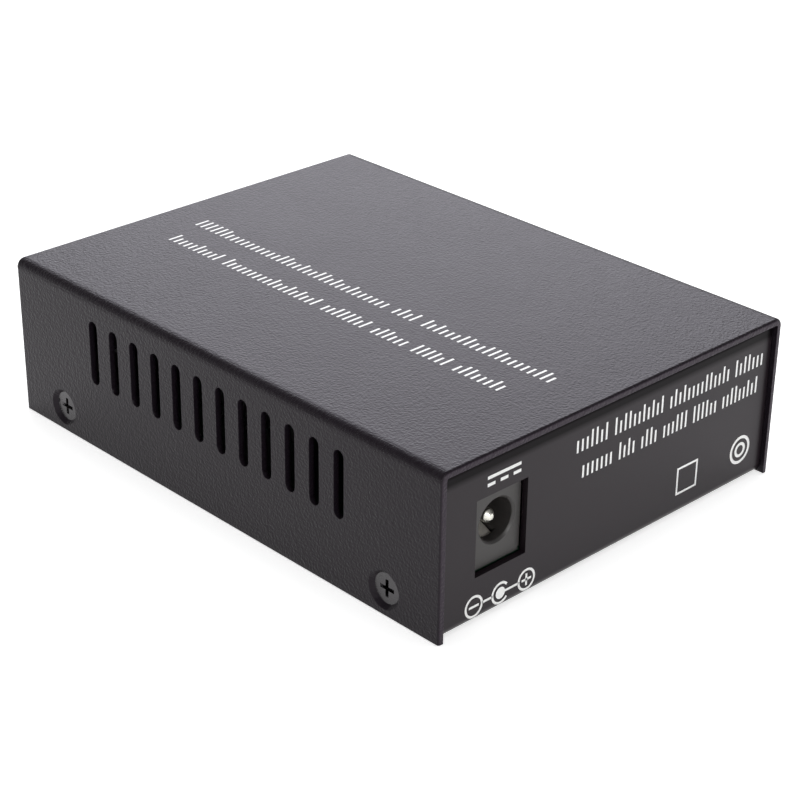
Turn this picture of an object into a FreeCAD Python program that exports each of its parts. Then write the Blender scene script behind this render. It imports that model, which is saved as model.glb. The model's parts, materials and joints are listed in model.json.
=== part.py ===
import FreeCAD, Part

import math
import os

# A small network media converter in a folded steel case: a tray that holds the board, under a cover.
# Millimetres. +Z is up, the origin is at the middle of the underside, the ports face -Y
# and the power socket faces +Y. The vented sides of the cover face -X and +X.

# Case
case_length = 94.0
case_width = 71.0
case_height = 26.0
cover_sheet = 1.0
cover_bend = 0.4
tray_sheet = 1.0
tray_bend = 0.5
panel_recess = 0.8
panel_gap = 0.15
panel_corner = 1.0
flange_gap = 0.1
flange_height = 8.0
flange_end = 4.5
relief_width = 1.0

# Vents in both sides of the cover
vent_count = 12
vent_pitch = 5.0
vent_width = 2.0
vent_bottom = 11.25
vent_top_margin = 4.15

# Sides of the round openings and lenses that repeat, and facets of each round end of a vent
round_sides = 12
round_end_facets = 6

# Countersunk screws that hold the cover to the tray
cover_screw_inset = 10.5
cover_screw_ratio = 2 / 13
cover_screw_radius = 1.25
cover_screw_head = 2.35
cover_screw_length = 5.0
countersink_radius = 3.0
thread_gap = 0.02

# Cross recess of every screw, its wings as a share of the head's radius
recess_reach = 0.58
recess_width = 0.6
recess_depth = 1.0
recess_taper = 0.4

# Circuit board, its standoffs and its pan head screws
board_thickness = 1.6
board_side_gap = 0.9
board_end_gap = 0.4
board_hole_radius = 1.6
board_hole_front_inset = 16.8
board_hole_rear_inset = 18.8
board_lift_ratio = 0.134
standoff_hex = 5.6
board_screw_radius = 1.48
board_screw_length = 5.0
board_screw_head = 2.5
board_screw_head_height = 1.9
lead_gap = 0.2
lead_below_board = 1.2

# Gaps along the front edge of the board, and along its middle behind the copper jack, and behind the cage.
# They keep these proportions when the case changes.
front_gaps = (2.7, 2.2, 5.9, 11.4)
middle_gaps = (8.4, 2.7, 6.95, 7.05, 3.7)
rear_gaps = (16.15, 4.4, 7.05, 3.8, 10.0)

# Power socket
jack_side_inset = 9.4
jack_width = 9.0
jack_height = 11.0
jack_face_recess = 0.9
jack_window_gap = 0.4
jack_flange_depth = 3.4
jack_body_width = 8.6
jack_body_length = 13.0
jack_axis_height = 6.3
jack_bore_radius = 3.2
jack_rear_wall = 2.2
jack_bore_lead = 0.35
jack_corner = 0.6
jack_pin_radius = 1.05
jack_pin_tip_depth = 1.0
jack_pin_tip_cone = 0.6
jack_pin_shank_radius = 1.3
jack_rivet_radius = 1.7
jack_rivet_length = 0.6
contact_strip = 0.3
contact_strip_width = 3.0
contact_room = 0.2
jack_spring_lift = 0.8
jack_spring_depth = 5.0
jack_spring_tail_inset = 1.8
jack_spring_ramp = 3.1
jack_floor_gap = 1.05
jack_switch_width = 1.8
jack_switch_inset = 2.2
jack_switch_overlap = 0.8
terminal_length = 3.0

# Copper network jack
rj_width = 16.0
rj_height = 13.3
rj_length = 17.0
rj_sheet = 0.3
rj_proud = 0.3
rj_panel_gap = 0.3
rj_wall_gap = 0.05
rj_opening_width = 11.8
rj_opening_height = 6.8
rj_opening_floor = 3.4
rj_opening_depth = 10.7
rj_latch_width = 6.2
rj_latch_depth = 1.9
rj_carrier_width = 12.0
rj_carrier_length = 5.2
rj_contact_count = 8
rj_contact_pitch = 1.02
rj_contact_wire = 0.35
rj_contact_slot = 0.6
rj_contact_slot_start = 1.6
rj_contact_run_gap = 0.7
rj_contact_nose = 2.9
rj_contact_nose_drop = 0.5
rj_contact_end = 9.6
rj_contact_end_height = 7.9
rj_tab_width = 1.6
rj_tab_depth = 10.9

# Cage and host connector of the plug-in optical module
cage_width = 14.2
cage_height = 9.8
cage_length = 48.7
cage_sheet = 0.25
cage_bend = 0.25
cage_proud = 0.5
cage_panel_gap = 0.75
cage_vent_width = 2.2
cage_vent_height = 3.0
cage_vent_count = 3
cage_vent_pitch = 7.8
cage_vent_start = 14.0
cage_pin_count = 4
cage_pin_start = 9.0
cage_pin_pitch = 10.2
cage_pin_width = 0.9
cage_pin_length = 2.8
cage_tongue_width = 5.4
cage_tongue_length = 9.5
cage_tongue_slit = 0.5
cage_catch_width = 2.8
cage_catch_depth = 3.4
cage_floor_opening = 14.0
finger_sheet = 0.15
finger_band = 0.8
finger_length = 4.4
finger_lift = 0.68
finger_root = 0.1
finger_crest = 1.6
finger_flat = 0.9
finger_width = 3.4
finger_gap = 0.7
host_width = 11.6
host_height = 5.5
host_depth = 9.0
host_rear_gap = 1.6
host_lift = 0.4
host_foot = 1.0
host_card_width = 9.4
host_card_slot = 1.5
host_card_depth = 6.0
host_pin_count = 10
host_pin_pitch = 0.8
host_pin_width = 0.3
host_pin_sheet = 0.2
host_contact_gap = 0.35
host_upper_start = 1.2
host_upper_bend = 0.5
host_upper_foot = 1.1
host_lower_foot = 0.9
host_lower_bend = 0.8

# Light guides and indicator chips
guide_pitch = 5.0
guide_columns = 3
guide_section = 2.6
guide_lens_radius = 1.45
guide_lens_gap = 0.15
guide_proud = 0.3
guide_low_height = 3.5
guide_leg_pitch = 4.0
guide_leg_depth = 4.7
guide_chip_gap = 0.3
guide_bar_height = 2.0
guide_post = 1.6
indicator_length = 2.0
indicator_width = 1.25
indicator_height = 0.8

# Network transformer
transformer_width = 15.0
transformer_depth = 9.0
transformer_height = 5.6
transformer_lead_count = 8
transformer_lead_pitch = 1.8
transformer_lead_height = 0.75

# Main chip and its heat sink
main_chip_size = 14.0
main_chip_height = 1.4
pad_thickness = 0.3
sink_size = 14.0
sink_base = 1.6
sink_height = 8.0
sink_fin_count = 6
sink_fin = 1.0

# Gull wing leads
lead_sheet = 0.2
lead_width = 0.35
lead_shoulder = 0.5
lead_foot = 0.6
chip_standoff = 0.1

# Eight-lead chips
small_chip_width = 5.0
small_chip_depth = 3.9
small_chip_height = 1.5
small_chip_lead_count = 4
small_chip_lead_pitch = 1.27
memory_side_inset = 8.5
memory_to_screw = 11.0
switcher_to_fuse = 6.8

# Three-lead linear regulator
linear_width = 6.5
linear_depth = 3.5
linear_height = 1.6
linear_lead_count = 3
linear_lead_pitch = 2.3
linear_lead_width = 0.8
linear_tab_width = 3.0

# Crystal
crystal_to_memory = 13.0
crystal_length = 11.0
crystal_width = 4.6
crystal_height = 3.4
crystal_base = 0.7
crystal_base_rim = 0.1
crystal_terminal_reach = 5.0
crystal_terminal_length = 3.0
crystal_terminal_width = 1.0

# Aluminium capacitors
capacitor_radius = 3.9
capacitor_height = 10.0
capacitor_base = 8.2
capacitor_base_height = 1.2
capacitor_corner = 1.6
capacitor_pitch = 10.0
capacitor_count = 3
capacitor_to_jack = 11.1
capacitor_terminal_width = 1.0
capacitor_terminal_proud = 0.7

# Power inductor
inductor_size = 7.0
inductor_height = 4.0
inductor_corner = 1.2
inductor_terminal = 2.4
inductor_foot = 1.5

# Input fuse and diode
fuse_aside = 6.0
fuse_to_jack = 4.0
fuse_length = 4.5
fuse_width = 3.2
fuse_height = 1.0
diode_length = 4.3
diode_width = 2.6
diode_height = 2.2
diode_terminal = 1.4
diode_foot = 1.0

# Rows of chip capacitors and chip resistors
chip_capacitor_length = 2.0
chip_capacitor_width = 1.25
chip_capacitor_height = 0.9
chip_capacitor_pitch = 2.6
chip_capacitor_count = 6
chip_resistor_length = 1.6
chip_resistor_width = 0.8
chip_resistor_height = 0.5
chip_resistor_pitch = 2.0
chip_resistor_count = 7
chip_row_gap = 1.2


def laid_out(start, end, sizes, gaps):
    """Middles of pieces in a row between two ends, with the spare room shared out among the gaps."""
    unit = (end - start - sum(sizes)) / sum(gaps)
    middles = []
    here = start
    for size, gap in zip(sizes, gaps):
        here += gap * unit
        middles.append(here + size / 2)
        here += size
    return middles


# Planes that follow from the sizes above
half_length = case_length / 2
half_width = case_width / 2
cover_inner_x = half_width - cover_sheet
cover_inner_z = case_height - cover_sheet
cover_screw_y = half_length - cover_screw_inset
cover_screw_z = case_height * cover_screw_ratio
vent_height = case_height - vent_top_margin - vent_bottom
vent_centre_z = vent_bottom + vent_height / 2
panel_outer_y = half_length - panel_recess
panel_inner_y = panel_outer_y - tray_sheet
panel_half_width = cover_inner_x - panel_gap
panel_top_z = cover_inner_z - panel_gap
flange_outer_x = cover_inner_x - flange_gap
flange_inner_x = flange_outer_x - tray_sheet
flange_half_length = panel_inner_y - flange_end + relief_width

# The board lies over the cover's screws and leaves room for the copper jack under the cover
board_half_width = flange_inner_x - board_side_gap
board_half_length = panel_inner_y - board_end_gap
screw_top_z = cover_screw_z + cover_screw_radius
board_bottom_z = screw_top_z + board_lift_ratio * (cover_inner_z - screw_top_z - board_thickness - rj_height)
board_top_z = board_bottom_z + board_thickness
tail_z = board_bottom_z - lead_below_board
board_hole_front_y = -board_half_length + board_hole_front_inset
board_hole_rear_y = board_half_length - board_hole_rear_inset

# Ports along the front
rj_front_y = -panel_outer_y - rj_proud
rj_inner_width = rj_width - 2 * rj_sheet - 2 * rj_wall_gap
rj_inner_height = rj_height - rj_sheet - rj_wall_gap
rj_carrier_start = rj_length - rj_sheet - rj_wall_gap - rj_carrier_length
cage_front_y = -panel_outer_y - cage_proud
cage_rear_y = cage_front_y + cage_length
host_front_y = cage_rear_y - host_rear_gap - host_depth
host_middle_z = board_top_z + host_lift + host_height / 2
guide_front_y = -panel_outer_y - guide_proud
guide_span = guide_pitch * (guide_columns - 1)
port_widths = (guide_span + guide_section, rj_width, cage_width)
guide_middle, rj_x, cage_x = laid_out(-board_half_width, board_half_width, port_widths, front_gaps)
guide_x = guide_middle - guide_span / 2
board_hole_x = (cage_x + cage_width / 2 + board_half_width) / 2

# Power socket
jack_x = board_half_width - jack_side_inset
jack_front_y = panel_outer_y - jack_face_recess
jack_axis_z = board_top_z + jack_axis_height
jack_floor_height = jack_axis_height - jack_bore_radius - jack_floor_gap
jack_bore_depth = jack_body_length - jack_rear_wall
jack_spring_tail_depth = jack_body_length - jack_spring_tail_inset
jack_switch_depth = jack_spring_tail_depth - jack_switch_inset

# Places of the parts on the board
lead_reach = lead_shoulder + lead_foot
chip_block = main_chip_size + 2 * (chip_row_gap + chip_capacitor_length)
middle_depths = (transformer_depth + 2 * lead_reach, chip_block,
                 linear_depth + 2 * lead_reach, capacitor_base)
transformer_y, main_chip_y, linear_y, capacitor_y = laid_out(rj_front_y + rj_length, board_half_length,
                                                             middle_depths, middle_gaps)
rear_widths = (diode_length + 2 * lead_sheet, linear_width, inductor_size + 2 * lead_sheet, small_chip_width)
diode_x, linear_x, inductor_x, switcher_x = laid_out(-board_half_width, board_half_width,
                                                     rear_widths, rear_gaps)
fuse_x = jack_x - fuse_aside
fuse_y = jack_front_y - jack_body_length - fuse_to_jack
switcher_y = fuse_y - switcher_to_fuse
memory_x = -board_half_width + memory_side_inset
memory_y = board_hole_rear_y - memory_to_screw
crystal_y = memory_y - crystal_to_memory
capacitor_first_x = jack_x - capacitor_to_jack - capacitor_pitch * (capacitor_count - 1)


def vector(plane, u, v, w):
    """A point from two coordinates in a plane and one along its normal."""
    if plane == "XZ":
        return FreeCAD.Vector(u, w, v)
    if plane == "YZ":
        return FreeCAD.Vector(w, u, v)
    return FreeCAD.Vector(u, v, w)


def block(x, y, z):
    """A box from three (low, high) pairs."""
    corner = FreeCAD.Vector(x[0], y[0], z[0])
    return Part.makeBox(x[1] - x[0], y[1] - y[0], z[1] - z[0], corner)


def centred_block(x, y, size_x, size_y, z):
    """A box centred on a point of the board, between two heights."""
    return block((x - size_x / 2, x + size_x / 2), (y - size_y / 2, y + size_y / 2), z)


def rod(radius, x, y, z, length, direction=(0, 0, 1)):
    """A round bar from a start point along a direction."""
    return Part.makeCylinder(radius, length, FreeCAD.Vector(x, y, z), FreeCAD.Vector(*direction))


def prism(points, plane, start, width):
    """A straight-sided outline, extruded along its plane's normal."""
    corners = [vector(plane, u, v, start) for u, v in points]
    face = Part.Face(Part.makePolygon(corners + [corners[0]]))
    return face.extrude(vector(plane, 0, 0, width))


def revolved(points, origin, direction):
    """A solid of revolution: (radius, height) points, with the height along a direction."""
    corners = [FreeCAD.Vector(r, 0, h) for r, h in points]
    face = Part.Face(Part.makePolygon(corners + [corners[0]]))
    solid = face.revolve(FreeCAD.Vector(0, 0, 0), FreeCAD.Vector(0, 0, 1), 360)
    turn = FreeCAD.Rotation(FreeCAD.Vector(0, 0, 1), FreeCAD.Vector(*direction))
    solid.Placement = FreeCAD.Placement(FreeCAD.Vector(*origin), turn)
    return solid


def directions(points):
    """The unit vector of each run of a line of points."""
    steps = []
    for (u0, v0), (u1, v1) in zip(points, points[1:]):
        length = math.hypot(u1 - u0, v1 - v0)
        steps.append(((u1 - u0) / length, (v1 - v0) / length))
    return steps


def sharp_side(points, thickness, side):
    """One side of a strip whose corners are mitred."""
    steps = directions(points)
    steps = [steps[0]] + steps + [steps[-1]]
    offset = side * thickness / 2
    trail = []
    for (u, v), (au, av), (bu, bv) in zip(points, steps, steps[1:]):
        scale = offset / (1 + au * bu + av * bv)
        trail.append((u - (av + bv) * scale, v + (au + bu) * scale))
    return trail


def side_of_strip(points, thickness, inside_radius, side):
    """The points of one side of a bent strip: single points and (start, middle, end) arcs.

    An inside radius of None gives sharp corners.
    """
    if inside_radius is None:
        return sharp_side(points, thickness, side)
    middle_radius = inside_radius + thickness / 2
    steps = directions(points)
    offset = side * thickness / 2
    trail = [(points[0][0] - steps[0][1] * offset, points[0][1] + steps[0][0] * offset)]
    for (u, v), (au, av), (bu, bv) in zip(points[1:-1], steps, steps[1:]):
        turn = math.atan2(au * bv - av * bu, au * bu + av * bv)
        sign = math.copysign(1, turn)
        reach = middle_radius * math.tan(abs(turn) / 2)
        centre = (u - au * reach - sign * middle_radius * av, v - av * reach + sign * middle_radius * au)
        radius = middle_radius - sign * offset
        out = math.hypot(u - centre[0], v - centre[1])
        start = (u - au * reach - av * offset, v - av * reach + au * offset)
        end = (u + bu * reach - bv * offset, v + bv * reach + bu * offset)
        middle = (centre[0] + radius * (u - centre[0]) / out, centre[1] + radius * (v - centre[1]) / out)
        trail.append((start, middle, end))
    last = points[-1]
    trail.append((last[0] - steps[-1][1] * offset, last[1] + steps[-1][0] * offset))
    return trail


def strip(points, thickness, inside_radius, plane, start, width):
    """Sheet or wire bent along a line of points, with true bends, extruded along the plane's normal."""
    left = side_of_strip(points, thickness, inside_radius, 1)
    right = side_of_strip(points, thickness, inside_radius, -1)
    right = [(item[2], item[1], item[0]) if len(item) == 3 else item for item in reversed(right)]
    edges = []
    first = vector(plane, *left[0], start)
    here = first
    for item in left[1:] + right:
        stops = item if len(item) == 3 else (item,)
        begin = vector(plane, *stops[0], start)
        edges.append(Part.makeLine(here, begin))
        here = begin
        if len(stops) == 3:
            here = vector(plane, *stops[2], start)
            edges.append(Part.Arc(begin, vector(plane, *stops[1], start), here).toShape())
    edges.append(Part.makeLine(here, first))
    return Part.Face(Part.Wire(edges)).extrude(vector(plane, 0, 0, width))


def slot(plane, u, v, width, height, start, depth):
    """A bar with round ends that stands upright in its plane, as a cutter or a can."""
    r = width / 2
    straight = height / 2 - r
    low, high = v - straight, v + straight
    at = [vector(plane, *point, start) for point in ((u + r, low), (u + r, high), (u, high + r),
                                                    (u - r, high), (u - r, low), (u, low - r))]
    edges = [Part.makeLine(at[0], at[1]), Part.Arc(at[1], at[2], at[3]).toShape()]
    edges += [Part.makeLine(at[3], at[4]), Part.Arc(at[4], at[5], at[0]).toShape()]
    return Part.Face(Part.Wire(edges)).extrude(vector(plane, 0, 0, depth))


def many_sided(sides, plane, u, v, radius, start, depth):
    """A straight bar with a regular section, for hexagons and for small rounds that repeat."""
    outline = []
    for index in range(sides):
        angle = 2 * math.pi * index / sides
        outline.append((u + radius * math.cos(angle), v + radius * math.sin(angle)))
    return prism(outline, plane, start, depth)


def faceted_slot(plane, u, v, width, height, facets, start, depth):
    """An upright cutter whose round ends have a few facets each, for rows of small openings."""
    r = width / 2
    straight = height / 2 - r
    outline = []
    for index in range(facets + 1):
        angle = math.pi * index / facets
        outline.append((u + r * math.cos(angle), v + straight + r * math.sin(angle)))
    outline += [(2 * u - a, 2 * v - b) for a, b in outline]
    return prism(outline, plane, start, depth)


def joined(pieces):
    """One solid from pieces that touch or overlap."""
    return pieces[0].multiFuse(pieces[1:]).removeSplitter()


def screw(origin, direction, profile, head_radius):
    """A screw with a cross recess. The profile is (radius, height) with the top of its head at 0."""
    body = revolved(profile, (0, 0, 0), (0, 0, 1))
    reach = head_radius * recess_reach
    bottom = reach - recess_taper
    wing = [(-reach, 0), (reach, 0), (bottom, -recess_depth), (-bottom, -recess_depth)]
    cutters = [prism(wing, plane, -recess_width / 2, recess_width) for plane in ("XZ", "YZ")]
    body = body.cut(joined(cutters))
    turn = FreeCAD.Rotation(FreeCAD.Vector(0, 0, 1), FreeCAD.Vector(*direction))
    body.Placement = FreeCAD.Placement(FreeCAD.Vector(*origin), turn)
    return body


def cover_screw_places():
    """(side, y) of each screw in the cover."""
    return [(side, y) for side in (-1, 1) for y in (-cover_screw_y, cover_screw_y)]


def countersink(side, y):
    """The cone that a cover screw's head needs, right through the cover's sheet."""
    deep = cover_sheet + 1
    points = [(0, 1), (countersink_radius + 1, 1), (countersink_radius - deep, -deep), (0, -deep)]
    return revolved(points, (side * half_width, y, cover_screw_z), (side, 0, 0))


def top_cover():
    """Top and both sides, one sheet folded twice, open at the front, the back and below."""
    wall_x = half_width - cover_sheet / 2
    top_z = case_height - cover_sheet / 2
    path = [(-wall_x, 0), (-wall_x, top_z), (wall_x, top_z), (wall_x, 0)]
    shell = strip(path, cover_sheet, cover_bend, "XZ", -half_length, case_length)
    cutters = []
    first = -vent_pitch * (vent_count - 1) / 2
    for side in (-1, 1):
        start = side * half_width - cover_sheet * 1.5
        for index in range(vent_count):
            y = first + vent_pitch * index
            cutters.append(faceted_slot("YZ", y, vent_centre_z, vent_width,
                                        vent_height, round_end_facets, start, 3 * cover_sheet))
    for side, y in cover_screw_places():
        cutters.append(countersink(side, y))
    return shell.cut(cutters)


def board_screw_places():
    """Where the board is screwed down."""
    return [(side * board_hole_x, y) for side in (-1, 1) for y in (board_hole_front_y, board_hole_rear_y)]


def hexagon(x, y, across, z, height):
    """A hexagonal prism that stands on its flat end."""
    return many_sided(6, "XY", x, y, across / math.sqrt(3), z, height)


def panel_cuts():
    """Openings of the front panel for the ports and the light guides, and of the rear one for the jack."""
    through = (-panel_outer_y - tray_sheet, -panel_inner_y + tray_sheet)
    half = rj_width / 2 + rj_panel_gap
    low = board_top_z - rj_panel_gap
    cuts = [block((rj_x - half, rj_x + half), through, (low, board_top_z + rj_height + rj_panel_gap))]
    half = cage_width / 2 + cage_panel_gap
    high = board_top_z + cage_height + cage_panel_gap
    cuts.append(block((cage_x - half, cage_x + half), through, (board_top_z - cage_panel_gap, high)))
    for x, height, _ in guide_places():
        cuts.append(many_sided(round_sides, "XZ", x, board_top_z + height,
                               guide_lens_radius + guide_lens_gap, through[0], through[1] - through[0]))
    half = jack_width / 2 + jack_window_gap
    window_z = (board_top_z - jack_window_gap, board_top_z + jack_height + jack_window_gap)
    cuts.append(block((jack_x - half, jack_x + half), (-through[1], -through[0]), window_z))
    return cuts


def panel_corners():
    """The cut corners at the top of both panels."""
    corners = []
    start = -panel_outer_y - 1
    for side in (-1, 1):
        outer = side * (panel_half_width + 1)
        inner = side * (panel_half_width - panel_corner)
        outline = [(inner, panel_top_z + 1), (inner, panel_top_z)]
        outline += [(side * panel_half_width, panel_top_z - panel_corner),
                    (outer, panel_top_z - panel_corner)]
        outline.append((outer, panel_top_z + 1))
        corners.append(prism(outline, "XZ", start, -2 * start))
    return corners


def base_tray():
    """Bottom, front and rear panels and two side flanges, one sheet folded four times."""
    middle = tray_sheet / 2
    panel_y = panel_outer_y - middle
    path = [(-panel_y, panel_top_z), (-panel_y, middle), (panel_y, middle), (panel_y, panel_top_z)]
    tray = strip(path, tray_sheet, tray_bend, "YZ", -panel_half_width, 2 * panel_half_width)
    flange_x = flange_outer_x - middle
    notch_x = flange_outer_x - tray_sheet - tray_bend
    notch_y = flange_half_length + relief_width
    for side in (-1, 1):
        notch = sorted((side * notch_x, side * half_width))
        tray = tray.cut(block(notch, (-notch_y, notch_y), (-1, tray_sheet + 1)))
    path = [(-flange_x, flange_height), (-flange_x, middle), (flange_x, middle), (flange_x, flange_height)]
    tray = joined([tray, strip(path, tray_sheet, tray_bend, "XZ",
                               -flange_half_length, 2 * flange_half_length)])
    cuts = panel_cuts() + panel_corners()
    for side, y in cover_screw_places():
        start = side * (flange_inner_x - 1)
        cuts.append(rod(cover_screw_radius + thread_gap, start, y, cover_screw_z,
                        tray_sheet + 2, (side, 0, 0)))
    for x, y in board_screw_places():
        cuts.append(hexagon(x, y, standoff_hex, -1, tray_sheet + 2))
    return tray.cut(cuts).removeSplitter()


def cover_screws():
    """Four undercut countersunk screws for thin sheet, a little below the face of the cover."""
    sunk = countersink_radius - cover_screw_head - thread_gap
    cone_end = cover_sheet - sunk
    profile = [(0, 0), (cover_screw_head, 0), (cover_screw_head - cone_end, -cone_end)]
    profile += [(cover_screw_radius, -cone_end), (cover_screw_radius, -cover_screw_length)]
    profile.append((0, -cover_screw_length))
    screws = []
    for side, y in cover_screw_places():
        origin = (side * (half_width - sunk), y, cover_screw_z)
        screws.append(screw(origin, (side, 0, 0), profile, cover_screw_head))
    return Part.makeCompound(screws)


def board_standoffs():
    """Four threaded hexagonal standoffs, pressed flush into the bottom of the tray."""
    standoffs = []
    for x, y in board_screw_places():
        bore = rod(board_screw_radius + thread_gap, x, y, -1, board_bottom_z + 2)
        standoffs.append(hexagon(x, y, standoff_hex, 0, board_bottom_z).cut(bore))
    return Part.makeCompound(standoffs)


def board_screws():
    """Four screws that hold the board down, with flat heads that stand on it."""
    head = board_screw_head_height
    tip = head + board_screw_length
    profile = [(0, 0), (board_screw_head, 0), (board_screw_head, -head), (board_screw_radius, -head)]
    profile += [(board_screw_radius, -tip), (0, -tip)]
    top = board_top_z + head
    screws = [screw((x, y, top), (0, 0, 1), profile, board_screw_head) for x, y in board_screw_places()]
    return Part.makeCompound(screws)


def jack_switch_span():
    """Where the switch contact lies along Y."""
    high = jack_front_y - jack_switch_depth
    return high - jack_switch_width, high


def board_cuts():
    """Every hole and slot of the board, from the pieces that pass through it."""
    cuts = []
    drill = board_thickness + 2
    for x, y in board_screw_places():
        cuts.append(many_sided(round_sides, "XY", x, y, board_hole_radius, board_bottom_z - 1, drill))
    through = (board_bottom_z - 1, board_top_z + 1)
    for side in (-1, 1):
        tab_x = rj_x + side * (rj_width - rj_sheet) / 2
        tab_y = rj_front_y + rj_tab_depth
        cuts.append(centred_block(tab_x, tab_y, rj_sheet + 2 * lead_gap,
                                  rj_tab_width + 2 * lead_gap, through))
    for x in rj_contact_places():
        y = rj_front_y + rj_tail_depth()
        size = rj_contact_wire + lead_gap
        cuts.append(centred_block(x, y, size, size, through))
    for x, y in cage_pin_places():
        cuts.append(centred_block(x, y, cage_sheet + lead_gap, cage_pin_width + lead_gap, through))
    for x in guide_post_places():
        size = guide_post + lead_gap
        cuts.append(centred_block(x, guide_bar_y(), size, size, through))
    notch = (-board_half_length - 1, cage_front_y + finger_length + lead_gap)
    half = cage_width / 2 + cage_panel_gap
    cuts.append(block((cage_x - half, cage_x + half), notch, through))
    wide = contact_strip_width + 2 * lead_gap
    thin = contact_strip + 2 * lead_gap
    spring_y = jack_front_y - jack_spring_tail_depth
    pin_y = jack_front_y - jack_body_length - contact_strip / 2
    cuts.append(centred_block(jack_x, spring_y, wide, thin, through))
    cuts.append(centred_block(jack_x, pin_y, wide, thin, through))
    switch_x = jack_x - jack_body_width / 2 - contact_strip / 2
    switch_y = sum(jack_switch_span()) / 2
    cuts.append(centred_block(switch_x, switch_y, thin, jack_switch_width + 2 * lead_gap, through))
    return cuts


def circuit_board():
    """The board, with all its holes."""
    plate = centred_block(0, 0, 2 * board_half_width, 2 * board_half_length, (board_bottom_z, board_top_z))
    return plate.cut(board_cuts())


def jack_point(depth, height):
    """A (y, z) point of the power socket, from its depth behind the face and height over the board."""
    return jack_front_y - depth, board_top_z + height


def jack_spring_contact():
    """Leaf spring under the plug's sleeve: its crest stands up into the bore, its tail goes down."""
    floor = jack_floor_height + contact_strip / 2
    crest = jack_axis_height - jack_bore_radius + jack_spring_lift - contact_strip / 2
    path = [jack_point(jack_spring_tail_depth, -terminal_length), jack_point(jack_spring_tail_depth, floor)]
    path += [jack_point(jack_spring_depth + jack_spring_ramp, floor), jack_point(jack_spring_depth, crest)]
    path.append(jack_point(jack_spring_depth - jack_spring_ramp + contact_strip, floor + contact_strip))
    return strip(path, contact_strip, contact_strip, "YZ", jack_x - contact_strip_width / 2,
                 contact_strip_width)


def jack_switch_contact():
    """Fixed contact that the leaf spring rests on while no plug is in."""
    low, high = jack_switch_span()
    side = jack_x - jack_body_width / 2 - contact_strip / 2
    top = board_top_z + jack_floor_height - contact_strip / 2
    path = [(side, board_top_z - terminal_length), (side, top), (jack_x - jack_switch_overlap, top)]
    return strip(path, contact_strip, None, "XZ", low, high - low)


def jack_pin_terminal():
    """Upright terminal strip behind the socket, riveted to its centre pin."""
    low, high = jack_front_y - jack_body_length - contact_strip, jack_front_y - jack_body_length
    half = contact_strip_width / 2
    top = jack_axis_z + 2 * jack_pin_shank_radius
    plate = block((jack_x - half, jack_x + half), (low, high), (board_top_z - terminal_length, top))
    return plate.cut(rod(jack_pin_shank_radius, jack_x, low - 1, jack_axis_z, contact_strip + 2, (0, 1, 0)))


def jack_centre_pin():
    """Turned pin with a cone at its tip, a thicker shank in the rear wall and a rivet head behind it."""
    tip = -jack_pin_tip_depth
    cone = jack_pin_tip_cone
    shank = -jack_bore_depth
    rivet = -jack_body_length - contact_strip
    end = rivet - jack_rivet_length
    profile = [(0, end), (jack_rivet_radius, end), (jack_rivet_radius, rivet),
               (jack_pin_shank_radius, rivet)]
    profile += [(jack_pin_shank_radius, shank), (jack_pin_radius, shank), (jack_pin_radius, tip - cone)]
    profile += [(jack_pin_radius - cone, tip), (0, tip)]
    return revolved(profile, (jack_x, jack_front_y, jack_axis_z), (0, 1, 0))


def jack_housing():
    """Moulded socket: a square face, a round-topped body, the plug's bore and room for its contacts."""
    half = jack_width / 2
    low, high = board_top_z, board_top_z + jack_height
    cut = jack_corner
    face = [(jack_x - half + cut, low), (jack_x + half - cut, low), (jack_x + half, low + cut)]
    face += [(jack_x + half, high - cut), (jack_x + half - cut, high), (jack_x - half + cut, high)]
    face += [(jack_x - half, high - cut), (jack_x - half, low + cut)]
    front = prism(face, "XZ", jack_front_y - jack_flange_depth, jack_flange_depth)
    rear_y = jack_front_y - jack_body_length
    half = jack_body_width / 2
    body = block((jack_x - half, jack_x + half), (rear_y, jack_front_y), (low, jack_axis_z))
    barrel = rod(half, jack_x, rear_y, jack_axis_z, jack_body_length, (0, 1, 0))
    solid = joined([front, body, barrel])
    lead = jack_bore_lead
    bore = [(0, 1), (jack_bore_radius + lead + 1, 1), (jack_bore_radius, -lead)]
    bore += [(jack_bore_radius, -jack_bore_depth), (0, -jack_bore_depth)]
    cuts = [revolved(bore, (jack_x, jack_front_y, jack_axis_z), (0, 1, 0))]
    cuts.append(rod(jack_pin_shank_radius, jack_x, rear_y - 1, jack_axis_z, jack_body_length, (0, 1, 0)))
    half = contact_strip_width / 2 + contact_room
    y_far, floor = jack_point(jack_spring_tail_depth + contact_strip / 2, jack_floor_height)
    y_near = jack_front_y - jack_spring_depth + jack_spring_ramp
    cuts.append(block((jack_x - half, jack_x + half), (y_far, y_near), (floor, jack_axis_z)))
    tail = (y_far, y_far + 2 * contact_strip)
    cuts.append(block((jack_x - half, jack_x + half), tail, (board_top_z - 1, floor + 1)))
    return solid.cut(cuts).cut(jack_switch_contact()).removeSplitter()


def rj_contact_places():
    """Middle of each contact wire of the copper jack, along X."""
    first = rj_x - rj_contact_pitch * (rj_contact_count - 1) / 2
    return [first + rj_contact_pitch * index for index in range(rj_contact_count)]


def rj_tail_depth():
    """Where the contact wires go down through the board, behind the jack's face."""
    return rj_carrier_start + rj_carrier_length / 2


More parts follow.
